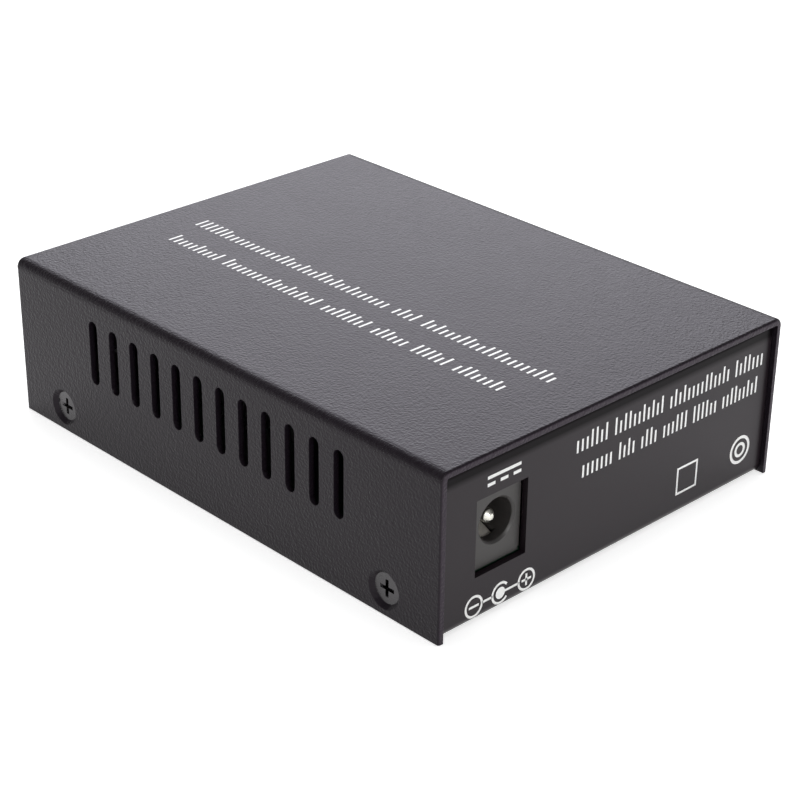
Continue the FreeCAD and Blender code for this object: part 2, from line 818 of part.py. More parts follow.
def rj_shield():
    """Folded tinplate round the jack, open below, with its opening in front and two solder tabs."""
    half = rj_width / 2
    low, high = board_top_z, board_top_z + rj_height
    rear = rj_front_y + rj_length
    outer = block((rj_x - half, rj_x + half), (rj_front_y, rear), (low, high))
    inner = half - rj_sheet
    hollow_y = (rj_front_y + rj_sheet, rear - rj_sheet)
    hollow = block((rj_x - inner, rj_x + inner), hollow_y, (low - 1, high - rj_sheet))
    shell = outer.cut([hollow] + rj_opening(rj_front_y - 1, rj_front_y + rj_sheet + 1))
    tab_y = rj_front_y + rj_tab_depth
    for side in (-1, 1):
        x = rj_x + side * (half - rj_sheet / 2)
        shell = shell.fuse(centred_block(x, tab_y, rj_sheet, rj_tab_width, (tail_z, low + 1)))
    return shell.removeSplitter()


def rj_opening(start, end):
    """The plug's opening with the wider channel for its latch below."""
    floor = board_top_z + rj_opening_floor
    half = rj_opening_width / 2
    plug = block((rj_x - half, rj_x + half), (start, end), (floor, floor + rj_opening_height))
    half = rj_latch_width / 2
    latch = block((rj_x - half, rj_x + half), (start, end), (floor - rj_latch_depth, floor + 1))
    return [plug, latch]


def rj_housing():
    """Moulded body of the copper jack, with a comb of slots for the contact wires."""
    half = rj_inner_width / 2
    start = rj_front_y + rj_sheet + rj_wall_gap
    end = rj_front_y + rj_length - rj_sheet - rj_wall_gap
    top = board_top_z + rj_inner_height
    body = block((rj_x - half, rj_x + half), (start, end), (board_top_z, top))
    cuts = rj_opening(start - 1, rj_front_y + rj_opening_depth)
    ceiling = board_top_z + rj_opening_floor + rj_opening_height
    slot_y = (rj_front_y + rj_contact_slot_start, rj_front_y + rj_opening_depth)
    for x in rj_contact_places():
        cuts.append(block((x - rj_contact_slot / 2, x + rj_contact_slot / 2), slot_y,
                          (ceiling - 1, top + 1)))
    half = rj_carrier_width / 2
    pocket_y = (rj_front_y + rj_carrier_start, end + 1)
    cuts.append(block((rj_x - half, rj_x + half), pocket_y, (board_top_z - 1, top + 1)))
    return body.cut(cuts).cut(rj_contact_wires())


def rj_contact_wires():
    """Eight sprung wires: up from the board, forward over the top, then back down into the opening."""
    run = board_top_z + rj_inner_height - rj_contact_run_gap
    depth = rj_front_y + rj_tail_depth()
    nose = rj_front_y + rj_contact_nose
    path = [(depth, tail_z), (depth, run), (nose, run),
            (nose - rj_contact_nose_drop, run - rj_contact_nose_drop)]
    path.append((rj_front_y + rj_contact_end, board_top_z + rj_contact_end_height))
    wires = []
    for x in rj_contact_places():
        start = x - rj_contact_wire / 2
        wires.append(strip(path, rj_contact_wire, None, "YZ", start, rj_contact_wire))
    return wires


def rj_contact_carrier():
    """Moulded block behind the opening that holds the eight wires."""
    half = rj_carrier_width / 2
    start = rj_front_y + rj_carrier_start
    end = start + rj_carrier_length
    body = block((rj_x - half, rj_x + half), (start, end), (board_top_z, board_top_z + rj_inner_height))
    return body.cut(rj_contact_wires())


def cage_pin_places():
    """Middle of each press-fit pin of the cage."""
    x = (cage_width - cage_sheet) / 2
    ys = [cage_front_y + cage_pin_start + cage_pin_pitch * index for index in range(cage_pin_count)]
    return [(cage_x + side * x, y) for side in (-1, 1) for y in ys]


def tube(width, height, radius, start, length):
    """A bar of rounded rectangular section on the cage's axis, standing off the board evenly."""
    half = width / 2
    low = board_top_z + (cage_height - height) / 2
    high = low + height
    bar = block((cage_x - half, cage_x + half), (start, start + length), (low, high))
    long_edges = [edge for edge in bar.Edges if abs(edge.tangentAt(edge.FirstParameter).y) > 0.9]
    return bar.makeFillet(radius, long_edges)


def cage_tongue_cuts():
    """Slits beside the latch tongue in the cage's floor, and the hole that catches the module."""
    through = (board_top_z - 1, board_top_z + cage_sheet + 1)
    end = cage_front_y + cage_tongue_length
    cuts = []
    for side in (-1, 1):
        inner = cage_x + side * cage_tongue_width / 2
        outer = inner + side * cage_tongue_slit
        cuts.append(block(sorted((inner, outer)), (cage_front_y - 1, end), through))
    half = cage_catch_width / 2
    near = cage_front_y + cage_catch_depth
    far = near + cage_catch_width
    catch = [(cage_x - half, near), (cage_x + half, near), (cage_x, far)]
    cuts.append(prism(catch, "XY", through[0], through[1] - through[0]))
    return cuts


def cage():
    """Cage of thin sheet: a rounded tube with a back wall, vents, a latch tongue and press-fit pins."""
    sheet = cage_sheet
    outer = tube(cage_width, cage_height, cage_bend + sheet, cage_front_y, cage_length)
    inner = tube(cage_width - 2 * sheet, cage_height - 2 * sheet, cage_bend, cage_front_y - 1,
                 cage_length + 1 - sheet)
    cuts = [inner] + cage_tongue_cuts()
    for index in range(cage_vent_count):
        y = cage_front_y + cage_vent_start + cage_vent_pitch * index
        cuts.append(faceted_slot("XY", cage_x, y, cage_vent_width, cage_vent_height, round_end_facets,
                                 board_top_z + cage_height - sheet - 1, sheet + 2))
    half = host_width / 2 + 2 * sheet
    rear = (cage_rear_y - cage_floor_opening, cage_rear_y - 2 * sheet)
    cuts.append(block((cage_x - half, cage_x + half), rear, (board_top_z - 1, board_top_z + sheet + 1)))
    shell = outer.cut(cuts)
    pins = []
    for x, y in cage_pin_places():
        low = board_top_z - cage_pin_length
        pins.append(centred_block(x, y, sheet, cage_pin_width, (low, board_top_z + cage_bend + 2 * sheet)))
    return joined([shell] + pins)


def finger_profile():
    """(depth, rise) points of one spring finger, rising from the band and coming back to the cage."""
    rest = finger_sheet / 2
    crest = finger_lift - rest
    return [(finger_root, rest), (finger_band, rest), (finger_crest, crest),
            (finger_crest + finger_flat, crest), (finger_length, rest)]


def spring_fingers():
    """Collar of spring fingers round the mouth of the cage, which bear on the panel's opening."""
    size = 2 * finger_sheet
    outer = tube(cage_width + size, cage_height + size, cage_bend + cage_sheet + finger_sheet, cage_front_y,
                 finger_band)
    inner = tube(cage_width, cage_height, cage_bend + cage_sheet, cage_front_y - 1, finger_band + 2)
    pieces = [outer.cut(inner)]
    floor = board_top_z
    roof = board_top_z + cage_height
    pitch = finger_width + finger_gap
    up = [(cage_front_y + depth, roof + rise) for depth, rise in finger_profile()]
    down = [(cage_front_y + depth, floor - rise) for depth, rise in finger_profile()]
    for index in (-1, 0, 1):
        start = cage_x + index * pitch - finger_width / 2
        pieces.append(strip(up, finger_sheet, None, "YZ", start, finger_width))
    for side in (-1, 1):
        start = cage_x + side * pitch - finger_width / 2
        pieces.append(strip(down, finger_sheet, None, "YZ", start, finger_width))
        wall = cage_x + side * cage_width / 2
        out = [(wall + side * rise, cage_front_y + depth) for depth, rise in finger_profile()]
        for half in (-1, 1):
            middle = board_top_z + cage_height / 2 + half * pitch / 2
            start = middle - finger_width / 2
            pieces.append(strip(out, finger_sheet, None, "XY", start, finger_width))
    return joined(pieces)


def host_pin_places():
    """Middle of each contact of the host connector, along X."""
    first = cage_x - host_pin_pitch * (host_pin_count - 1) / 2
    return [first + host_pin_pitch * index for index in range(host_pin_count)]


def host_contact_paths():
    """Centre lines of an upper and a lower contact, from the card slot to their feet on the board."""
    reach = host_card_slot / 2 + host_contact_gap
    foot = board_top_z + host_pin_sheet / 2
    rear = host_front_y + host_depth
    upper = host_middle_z + reach
    lower = host_middle_z - reach
    top = [(host_front_y + host_upper_start, upper), (rear + host_upper_bend, upper)]
    top += [(rear + host_upper_bend, foot), (rear + host_upper_foot, foot)]
    bottom = [(host_front_y - host_lower_foot, foot), (host_front_y + host_lower_bend, foot)]
    bottom += [(host_front_y + host_lower_bend, lower), (host_front_y + host_card_depth, lower)]
    return top, bottom


def host_contacts():
    """Twenty contacts in two rows, as bent strips."""
    contacts = []
    for x in host_pin_places():
        for path in host_contact_paths():
            start = x - host_pin_width / 2
            contacts.append(strip(path, host_pin_sheet, None, "YZ", start, host_pin_width))
    return contacts


def host_housing():
    """Moulded connector that the module's card plugs into."""
    low = board_top_z + host_lift
    body = centred_block(cage_x, host_front_y + host_depth / 2, host_width, host_depth,
                         (low, low + host_height))
    half = host_card_slot / 2
    slot_y = (host_front_y - 1, host_front_y + host_card_depth)
    card = block((cage_x - host_card_width / 2, cage_x + host_card_width / 2), slot_y,
                 (host_middle_z - half, host_middle_z + half))
    feet = []
    for side in (-1, 1):
        x = cage_x + side * (host_width - host_foot) / 2
        feet.append(centred_block(x, host_front_y + host_depth / 2, host_foot, host_depth / 2,
                                  (board_top_z, low)))
    return joined([body.cut([card] + host_contacts())] + feet)


def guide_places():
    """(x, height of the lens over the board, depth of the leg behind the lens face) of each light guide."""
    places = []
    for column in range(guide_columns):
        for row in (0, 1):
            height = guide_low_height + guide_pitch * row
            places.append((guide_x + guide_pitch * column, height, guide_leg_depth + guide_leg_pitch * row))
    return places


def guide_post_places():
    """The posts of the light guide, midway between its columns."""
    return [guide_x + guide_pitch * (column + 0.5) for column in range(guide_columns - 1)]


def guide_bar_y():
    """The bar that joins the guides runs between their two rows of legs."""
    return guide_front_y + guide_leg_depth + guide_leg_pitch / 2


def light_guide():
    """One clear moulding: six elbows with round lenses, a bar that joins them and two posts."""
    half = guide_section / 2
    foot = board_top_z + indicator_height + guide_chip_gap
    neck = -panel_inner_y + guide_lens_gap
    pieces = []
    for x, height, depth in guide_places():
        z = board_top_z + height
        y = guide_front_y + depth
        elbow = [(neck, z - half), (y - half, z - half), (y - half, foot), (y + half, foot)]
        elbow += [(y + half, z - half), (y - half, z + half), (neck, z + half)]
        pieces.append(prism(elbow, "YZ", x - half, guide_section))
        pieces.append(many_sided(round_sides, "XZ", x, z, guide_lens_radius, guide_front_y,
                                 neck - guide_front_y))
    last = guide_x + guide_pitch * (guide_columns - 1)
    bar_z = (foot, foot + guide_bar_height)
    bar_half = max(guide_leg_pitch / 2 - half, guide_post / 2)
    bar_y = (guide_bar_y() - bar_half, guide_bar_y() + bar_half)
    pieces.append(block((guide_x - half, last + half), bar_y, bar_z))
    low = board_bottom_z - lead_below_board / 2
    for x in guide_post_places():
        pieces.append(centred_block(x, guide_bar_y(), guide_post, guide_post, (low, foot)))
    return joined(pieces)


def indicator_chips():
    """Six light-emitting chips under the legs of the light guide."""
    chips = []
    span = (board_top_z, board_top_z + indicator_height)
    for x, _, depth in guide_places():
        chips.append(centred_block(x, guide_front_y + depth, indicator_length, indicator_width, span))
    return Part.makeCompound(chips)


def gull_wing(width, root_height):
    """One lead from a chip's side: out, down and out again to its foot, along +X from x = 0."""
    t = lead_sheet
    out = lead_shoulder
    foot = out + lead_foot
    profile = [(0, root_height), (out - t, root_height), (out - t, 0), (foot, 0), (foot, t), (out, t)]
    profile += [(out, root_height + t), (0, root_height + t)]
    return prism(profile, "XZ", -width / 2, width)


def lead_row(x, y, angle, reach, offsets, width, root_height):
    """A row of leads on one side of a chip that is centred at x, y. The side faces along the angle."""
    turn = FreeCAD.Rotation(FreeCAD.Vector(0, 0, 1), angle)
    leads = []
    for offset in offsets:
        lead = gull_wing(width, root_height)
        place = turn.multVec(FreeCAD.Vector(reach, offset, 0)) + FreeCAD.Vector(x, y, board_top_z)
        lead.Placement = FreeCAD.Placement(place, turn)
        leads.append(lead)
    return leads


def even_offsets(count, pitch):
    """Evenly spaced places about the middle."""
    return [pitch * (index - (count - 1) / 2) for index in range(count)]


def chip_body(x, y, size_x, size_y, height):
    """A moulded chip package, just clear of the board."""
    low = board_top_z + chip_standoff
    return centred_block(x, y, size_x, size_y, (low, low + height))


def root_height(height):
    """Leads leave a package at half its height."""
    return chip_standoff + (height - lead_sheet) / 2


def main_chip():
    """The converter chip, a leadless package soldered flat on the board."""
    return centred_block(rj_x, main_chip_y, main_chip_size, main_chip_size,
                         (board_top_z, board_top_z + main_chip_height))


def thermal_pad():
    """Soft pad between the chip and its heat sink."""
    low = board_top_z + main_chip_height
    return centred_block(rj_x, main_chip_y, sink_size, sink_size, (low, low + pad_thickness))


def heat_sink():
    """Extruded heat sink with upright fins along Y."""
    low = board_top_z + main_chip_height + pad_thickness
    pieces = [centred_block(rj_x, main_chip_y, sink_size, sink_size, (low, low + sink_base))]
    pitch = (sink_size - sink_fin) / (sink_fin_count - 1)
    for offset in even_offsets(sink_fin_count, pitch):
        pieces.append(centred_block(rj_x + offset, main_chip_y, sink_fin, sink_size,
                                    (low, low + sink_height)))
    return joined(pieces)


def transformer():
    """Network transformer, between the copper jack and the converter chip."""
    return chip_body(rj_x, transformer_y, transformer_width, transformer_depth, transformer_height)


def transformer_leads():
    """Leads on the two long sides of the transformer."""
    offsets = even_offsets(transformer_lead_count, transformer_lead_pitch)
    leads = []
    for angle in (90, 270):
        leads += lead_row(rj_x, transformer_y, angle, transformer_depth / 2, offsets, lead_width,
                          transformer_lead_height)
    return Part.makeCompound(leads)


def small_chip(x, y):
    """An eight-lead package."""
    return chip_body(x, y, small_chip_width, small_chip_depth, small_chip_height)


def small_chip_leads(x, y):
    """Its leads, four on each long side."""
    offsets = even_offsets(small_chip_lead_count, small_chip_lead_pitch)
    leads = []
    for angle in (90, 270):
        leads += lead_row(x, y, angle, small_chip_depth / 2, offsets, lead_width,
                          root_height(small_chip_height))
    return Part.makeCompound(leads)


def linear_regulator():
    """Three-lead regulator package."""
    return chip_body(linear_x, linear_y, linear_width, linear_depth, linear_height)


def linear_regulator_leads():
    """Three leads on one side and the wide cooling tab on the other."""
    height = root_height(linear_height)
    offsets = even_offsets(linear_lead_count, linear_lead_pitch)
    leads = lead_row(linear_x, linear_y, 270, linear_depth / 2, offsets, linear_lead_width, height)
    leads += lead_row(linear_x, linear_y, 90, linear_depth / 2, [0], linear_tab_width, height)
    return Part.makeCompound(leads)


def crystal_base_plate():
    """Plastic base of the crystal, on its two terminals."""
    low = board_top_z + lead_sheet
    rim = 2 * crystal_base_rim
    return centred_block(memory_x, crystal_y, crystal_width + rim, crystal_length + rim,
                         (low, low + crystal_base))


def crystal_can():
    """Drawn can with round ends."""
    low = board_top_z + lead_sheet + crystal_base
    return slot("XY", memory_x, crystal_y, crystal_width, crystal_length, low, crystal_height)


def crystal_terminals():
    """Two flat terminals under the base."""
    span = (board_top_z, board_top_z + lead_sheet)
    strips = []
    for end in (-1, 1):
        y = crystal_y + end * crystal_terminal_reach
        strips.append(centred_block(memory_x, y, crystal_terminal_width, crystal_terminal_length, span))
    return Part.makeCompound(strips)


def capacitor_places():
    """Middle of each aluminium capacitor along X."""
    return [capacitor_first_x + capacitor_pitch * index for index in range(capacitor_count)]


def capacitor_cans():
    """Aluminium cans on their bases."""
    low = board_top_z + lead_sheet + capacitor_base_height
    return Part.makeCompound([rod(capacitor_radius, x, capacitor_y, low, capacitor_height)
                              for x in capacitor_places()])


def capacitor_bases():
    """Square plastic bases, with two corners cut off to show which way round they go."""
    half = capacitor_base / 2
    c = capacitor_corner
    low = board_top_z + lead_sheet
    bases = []
    for x in capacitor_places():
        y = capacitor_y
        outline = [(x - half, y - half), (x + half, y - half), (x + half, y + half - c),
                   (x + half - c, y + half)]
        outline += [(x - half + c, y + half), (x - half, y + half - c)]
        bases.append(prism(outline, "XY", low, capacitor_base_height))
    return Part.makeCompound(bases)


def capacitor_terminals():
    """Two flat terminals under each base."""
    strips = []
    length = capacitor_base / 3
    for x in capacitor_places():
        for side in (-1, 1):
            middle = capacitor_y + side * (capacitor_base / 2 - length / 2 + capacitor_terminal_proud)
            strips.append(centred_block(x, middle, capacitor_terminal_width, length,
                                        (board_top_z, board_top_z + lead_sheet)))
    return Part.makeCompound(strips)


def power_inductor():
    """Shielded inductor block with cut corners."""
    half = inductor_size / 2
    c = inductor_corner
    x, y = inductor_x, linear_y
    outline = [(x - half + c, y - half), (x + half - c, y - half), (x + half, y - half + c)]
    outline += [(x + half, y + half - c), (x + half - c, y + half), (x - half + c, y + half)]
    outline += [(x - half, y + half - c), (x - half, y - half + c)]
    return prism(outline, "XY", board_top_z + lead_sheet, inductor_height)


def clip_terminals(x, y, length, width, height, foot):
    """Two terminals that lie under the ends of a part and turn up its end faces, along X."""
    t = lead_sheet
    clips = []
    for side in (-1, 1):
        path = [(x + side * (length / 2 - foot), board_top_z + t / 2)]
        path += [(x + side * (length / 2 + t / 2), board_top_z + t / 2)]
        path += [(x + side * (length / 2 + t / 2), board_top_z + t + height)]
        clips.append(strip(path, t, None, "XZ", y - width / 2, width))
    return Part.makeCompound(clips)


def power_inductor_terminals():
    """Terminals at both ends of the inductor."""
    height = inductor_height / 3
    return clip_terminals(inductor_x, linear_y, inductor_size, inductor_terminal, height, inductor_foot)


def input_fuse():
    """Resettable fuse chip near the power socket."""
    return centred_block(fuse_x, fuse_y, fuse_length, fuse_width, (board_top_z, board_top_z + fuse_height))


def diode():
    """Moulded diode."""
    low = board_top_z + lead_sheet
    return centred_block(diode_x, linear_y, diode_length, diode_width, (low, low + diode_height))


def diode_terminals():
    """Terminals folded under both ends of the diode."""
    return clip_terminals(diode_x, linear_y, diode_length, diode_terminal, diode_height / 2, diode_foot)


def chip_capacitors():
    """Two rows of chip capacitors, before and behind the converter chip."""
    reach = main_chip_size / 2 + chip_row_gap + chip_capacitor_length / 2
    span = (board_top_z, board_top_z + chip_capacitor_height)
    chips = []
    for side in (-1, 1):
        for offset in even_offsets(chip_capacitor_count, chip_capacitor_pitch):
            chips.append(centred_block(rj_x + offset, main_chip_y + side * reach, chip_capacitor_width,
                                       chip_capacitor_length, span))
    return Part.makeCompound(chips)


def chip_resistors():
    """Two columns of chip resistors, beside the converter chip and beside the module cage."""
    chip_reach = main_chip_size / 2 + chip_row_gap + chip_resistor_length / 2
    cage_reach = cage_width / 2 + chip_row_gap + chip_resistor_length / 2
    span = (board_top_z, board_top_z + chip_resistor_height)
    chips = []
    for x, y in ((rj_x - chip_reach, main_chip_y), (cage_x + cage_reach, cage_rear_y - cage_floor_opening)):
        for offset in even_offsets(chip_resistor_count, chip_resistor_pitch):
            chips.append(centred_block(x, y + offset, chip_resistor_length, chip_resistor_width, span))
    return Part.makeCompound(chips)


def all_parts():
    """Every piece under the name of its file."""
    return {
        "top_cover": top_cover(),
        "base_tray": base_tray(),
        "cover_screws": cover_screws(),
        "board_standoffs": board_standoffs(),
        "board_screws": board_screws(),
        "circuit_board": circuit_board(),
        "power_jack_housing": jack_housing(),
        "power_jack_centre_pin": jack_centre_pin(),
        "power_jack_pin_terminal": jack_pin_terminal(),
        "power_jack_spring_contact": jack_spring_contact(),
        "power_jack_switch_contact": jack_switch_contact(),
        "copper_jack_shield": rj_shield(),
        "copper_jack_housing": rj_housing(),
        "copper_jack_carrier": rj_contact_carrier(),
        "copper_jack_contacts": Part.makeCompound(rj_contact_wires()),
        "module_cage": cage(),
        "module_cage_fingers": spring_fingers(),
        "module_connector_housing": host_housing(),
        "module_connector_contacts": Part.makeCompound(host_contacts()),
        "light_guide": light_guide(),
        "indicator_chips": indicator_chips(),
        "network_transformer": transformer(),
        "network_transformer_leads": transformer_leads(),
        "main_chip": main_chip(),
        "thermal_pad": thermal_pad(),
        "heat_sink": heat_sink(),
        "memory_chip": small_chip(memory_x, memory_y),
        "memory_chip_leads": small_chip_leads(memory_x, memory_y),
        "switching_regulator": small_chip(switcher_x, switcher_y),
        "switching_regulator_leads": small_chip_leads(switcher_x, switcher_y),
        "linear_regulator": linear_regulator(),
        "linear_regulator_leads": linear_regulator_leads(),
        "crystal_base": crystal_base_plate(),
        "crystal_can": crystal_can(),
        "crystal_terminals": crystal_terminals(),
        "capacitor_cans": capacitor_cans(),
        "capacitor_bases": capacitor_bases(),
        "capacitor_terminals": capacitor_terminals(),
        "power_inductor": power_inductor(),
        "power_inductor_terminals": power_inductor_terminals(),
        "input_fuse": input_fuse(),
        "diode": diode(),
        "diode_terminals": diode_terminals(),
        "chip_capacitors": chip_capacitors(),
        "chip_resistors": chip_resistors(),
    }


def main():
    os.makedirs("parts", exist_ok=True)
    for name, shape in all_parts().items():
        shape.exportStep(os.path.join("parts", name + ".step"))
        box = shape.BoundBox
        print(f"{name}: {len(shape.Solids)} solids, {shape.Volume:.1f} mm3, "
              f"{box.XLength:.2f} x {box.YLength:.2f} x {box.ZLength:.2f}")


main()
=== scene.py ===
# %% [markdown]
# # A small network converter in a folded steel case
# The solids of this part are already made, one for each real piece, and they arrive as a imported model.
# This lesson dresses them: it rounds the edges that catch the light, builds paints, plastics and metals
# from procedural nodes, prints the white marks on the case and lights it all on a pale floor. Everything
# is in metres, in the frame of the solids, so a piece goes where the solids say.

import json
import math

import bmesh
import bpy
from mathutils import Matrix, Vector


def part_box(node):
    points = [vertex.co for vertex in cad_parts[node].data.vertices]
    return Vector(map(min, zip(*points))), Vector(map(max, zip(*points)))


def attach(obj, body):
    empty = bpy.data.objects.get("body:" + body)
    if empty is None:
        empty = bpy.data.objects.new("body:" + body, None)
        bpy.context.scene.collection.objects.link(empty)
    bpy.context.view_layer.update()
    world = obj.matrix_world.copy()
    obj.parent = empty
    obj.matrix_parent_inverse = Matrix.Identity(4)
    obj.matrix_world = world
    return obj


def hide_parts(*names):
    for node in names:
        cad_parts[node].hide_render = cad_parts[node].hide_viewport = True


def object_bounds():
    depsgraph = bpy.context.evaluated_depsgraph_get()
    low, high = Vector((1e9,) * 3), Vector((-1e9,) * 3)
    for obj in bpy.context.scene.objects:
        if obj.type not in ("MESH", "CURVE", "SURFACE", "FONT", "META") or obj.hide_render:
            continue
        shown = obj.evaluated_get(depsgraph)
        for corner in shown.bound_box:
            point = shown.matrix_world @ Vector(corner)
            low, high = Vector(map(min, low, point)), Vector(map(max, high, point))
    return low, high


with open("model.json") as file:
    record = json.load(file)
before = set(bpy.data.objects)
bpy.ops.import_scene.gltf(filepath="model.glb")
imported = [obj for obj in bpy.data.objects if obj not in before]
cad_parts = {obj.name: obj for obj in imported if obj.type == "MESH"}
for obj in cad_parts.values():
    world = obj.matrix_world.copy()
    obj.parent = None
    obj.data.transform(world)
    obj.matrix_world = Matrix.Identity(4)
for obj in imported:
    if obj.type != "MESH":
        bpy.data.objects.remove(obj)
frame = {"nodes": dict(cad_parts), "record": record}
cad_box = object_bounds()
nodes = frame["nodes"]
slot_of = {entry["node"]: entry["material_slot"] for entry in frame["record"]["subparts"]}
scene = bpy.context.scene
MM = 0.001
print("nodes:", len(nodes), "material slots:", len(set(slot_of.values())))

# %% [markdown]
# ## The camera
# The photograph is a product shot from above one corner, with a fairly long lens. The camera's place was
# worked out from the corners of the case, and is kept as angles and distances. Its lens isn't shifted, so
# it can be moved round the case and still has it in the picture.

# %% Stand the camera where the photograph was taken
VIEW_AZIMUTH = 135.88
VIEW_ELEVATION = 27.02
VIEW_ROLL = 0.76
VIEW_DISTANCE = 323.6 * MM
VIEW_ASIDE = 1.72 * MM
VIEW_LIFT = -5.54 * MM
IMAGE_SIZE = 800
FOCAL_PIXELS = 2095.9
SENSOR_WIDTH = 36.0
NEAREST_SEEN = 10 * MM


def camera_axes(azimuth, elevation, roll):
    """Right, up and backward directions of a camera, from its angles in degrees."""
    a, e, r = (math.radians(angle) for angle in (azimuth, elevation, roll))
    back = Vector((math.sin(a) * math.cos(e), -math.cos(a) * math.cos(e), math.sin(e)))
    level = Vector((0, 0, 1)).cross(back).normalized()
    upright = back.cross(level)
    right = level * math.cos(r) + upright * math.sin(r)
    up = upright * math.cos(r) - level * math.sin(r)
    return right, up, back


low_corner, high_corner = (Vector(corner) for corner in cad_box)
case_middle = (low_corner + high_corner) / 2
right, up, back = camera_axes(VIEW_AZIMUTH, VIEW_ELEVATION, VIEW_ROLL)
lens = bpy.data.cameras.new("photo_camera")
lens.sensor_fit = "HORIZONTAL"
lens.sensor_width = SENSOR_WIDTH
lens.lens = FOCAL_PIXELS / IMAGE_SIZE * SENSOR_WIDTH
lens.clip_start = NEAREST_SEEN
camera = bpy.data.objects.new("photo_camera", lens)
scene.collection.objects.link(camera)
camera_place = case_middle + back * VIEW_DISTANCE + right * VIEW_ASIDE + up * VIEW_LIFT
camera_turn = Matrix((right, up, back)).transposed().to_4x4()
camera.matrix_world = Matrix.Translation(camera_place) @ camera_turn
scene.camera = camera
print("lens of", round(lens.lens, 1), "mm at", [round(value, 4) for value in camera_place])

# %% [markdown]
# ## Shared effects
# A finish is more than a colour: paint has a grain, drawn metal has fine lines, and both vary in gloss.
# Each such effect is a node group, made once and placed in many materials with its own numbers. The group
# gives out only a colour, a roughness and a height. The shader itself stays in each material.
#
# The helpers below write one node each, so that a group reads like the sum that it works out.

# %% Helpers for node groups


def new_group(name, kind, inputs, outputs):
    """An empty node group with named sockets, and its input and output nodes."""
    group = bpy.data.node_groups.new(name, kind)
    for label, socket_type, value in inputs:
        socket = group.interface.new_socket(label, in_out="INPUT", socket_type=socket_type)
        if value is not None:
            socket.default_value = value
    for label, socket_type in outputs:
        group.interface.new_socket(label, in_out="OUTPUT", socket_type=socket_type)
    return group, group.nodes.new("NodeGroupInput").outputs, group.nodes.new("NodeGroupOutput").inputs


def put(tree, value, socket):
    """Links a socket to another, or writes a plain value into it."""
    if isinstance(value, bpy.types.NodeSocket):
        tree.links.new(value, socket)
    else:
        socket.default_value = value


def calculated(tree, operation, first, second):
    """The result of one arithmetic step."""
    node = tree.nodes.new("ShaderNodeMath")
    node.operation = operation
    put(tree, first, node.inputs[0])
    put(tree, second, node.inputs[1])
    return node.outputs[0]


def ranged(tree, value, from_low, from_high, to_low, to_high):
    """One range of numbers turned into another, and held at its ends."""
    node = tree.nodes.new("ShaderNodeMapRange")
    labels = "Value", "From Min", "From Max", "To Min", "To Max"
    for label, given in zip(labels, (value, from_low, from_high, to_low, to_high)):
        put(tree, given, node.inputs[label])
    return node.outputs["Result"]


def noise(tree, vector, scale, detail):
    """A noise pattern as one number from 0 to 1."""
    node = tree.nodes.new("ShaderNodeTexNoise")
    put(tree, vector, node.inputs["Vector"])
    put(tree, scale, node.inputs["Scale"])
    put(tree, detail, node.inputs["Detail"])
    return node.outputs[0]


def around_one(tree, value, spread):
    """Turns 0 to 1 into a factor that varies about 1 by the spread."""
    centred = calculated(tree, "SUBTRACT", value, 0.5)
    doubled = calculated(tree, "MULTIPLY", centred, 2.0)
    scaled = calculated(tree, "MULTIPLY", doubled, spread)
    return calculated(tree, "ADD", scaled, 1.0)


def tinted(tree, colour, factor):
    """A colour made lighter or darker by a factor."""
    node = tree.nodes.new("ShaderNodeVectorMath")
    node.operation = "SCALE"
    put(tree, colour, node.inputs[0])
    put(tree, factor, node.inputs["Scale"])
    return node.outputs[0]


# %% [markdown]
# ### Grain
# Powder coat is sprayed as dust and melts into a skin of small bumps. Moulded plastic copies the fine
# grain of its mould. Both are one effect at two sizes: a noise for the grain itself and a wider, softer
# one that changes the colour and the gloss a little from place to place. A low detail keeps the bumps
# round.

# %% Build the grain group
FINISH_INPUTS = [
    ("Vector", "NodeSocketVector", None),
    ("Size", "NodeSocketFloat", 0.4 * MM),
    ("Colour", "NodeSocketColor", (0.5, 0.5, 0.5, 1.0)),
    ("Colour spread", "NodeSocketFloat", 0.1),
    ("Roughness", "NodeSocketFloat", 0.5),
    ("Roughness spread", "NodeSocketFloat", 0.1),
]
FINISH_OUTPUTS = [
    ("Colour", "NodeSocketColor"),
    ("Roughness", "NodeSocketFloat"),
    ("Height", "NodeSocketFloat"),
]
WIDE_PATTERN = 0.03
GRAIN_SHARE = 0.75
GRAIN_DETAIL = 1.0
WIDE_DETAIL = 3.0


def grain_group():
    """Small bumps with a wide soft change of colour and gloss."""
    group, given, result = new_group("grain", "ShaderNodeTree", FINISH_INPUTS, FINISH_OUTPUTS)
    scale = calculated(group, "DIVIDE", 1.0, given["Size"])
    wide_scale = calculated(group, "MULTIPLY", scale, WIDE_PATTERN)
    fine = noise(group, given["Vector"], scale, GRAIN_DETAIL)
    wide = noise(group, given["Vector"], wide_scale, WIDE_DETAIL)
    fine_share = calculated(group, "MULTIPLY", fine, GRAIN_SHARE)
    wide_share = calculated(group, "MULTIPLY", wide, 1 - GRAIN_SHARE)
    mixed = calculated(group, "ADD", fine_share, wide_share)
    shade = around_one(group, mixed, given["Colour spread"])
    put(group, tinted(group, given["Colour"], shade), result["Colour"])
    gloss = around_one(group, wide, given["Roughness spread"])
    put(group, calculated(group, "MULTIPLY", given["Roughness"], gloss), result["Roughness"])
    put(group, fine, result["Height"])
    return group


grain = grain_group()
print("group", grain.name, "with", len(grain.nodes), "nodes")

# %% [markdown]
# ### Drawn lines
# Rolled, turned and drawn metal carries fine lines along the way it was worked. A noise stretched along
# one axis gives them. The stretching is done by a mapping in each material, so one group serves every
# direction.

# %% Build the drawn lines group
LINE_DETAIL = 4.0
MARK_DETAIL = 2.0


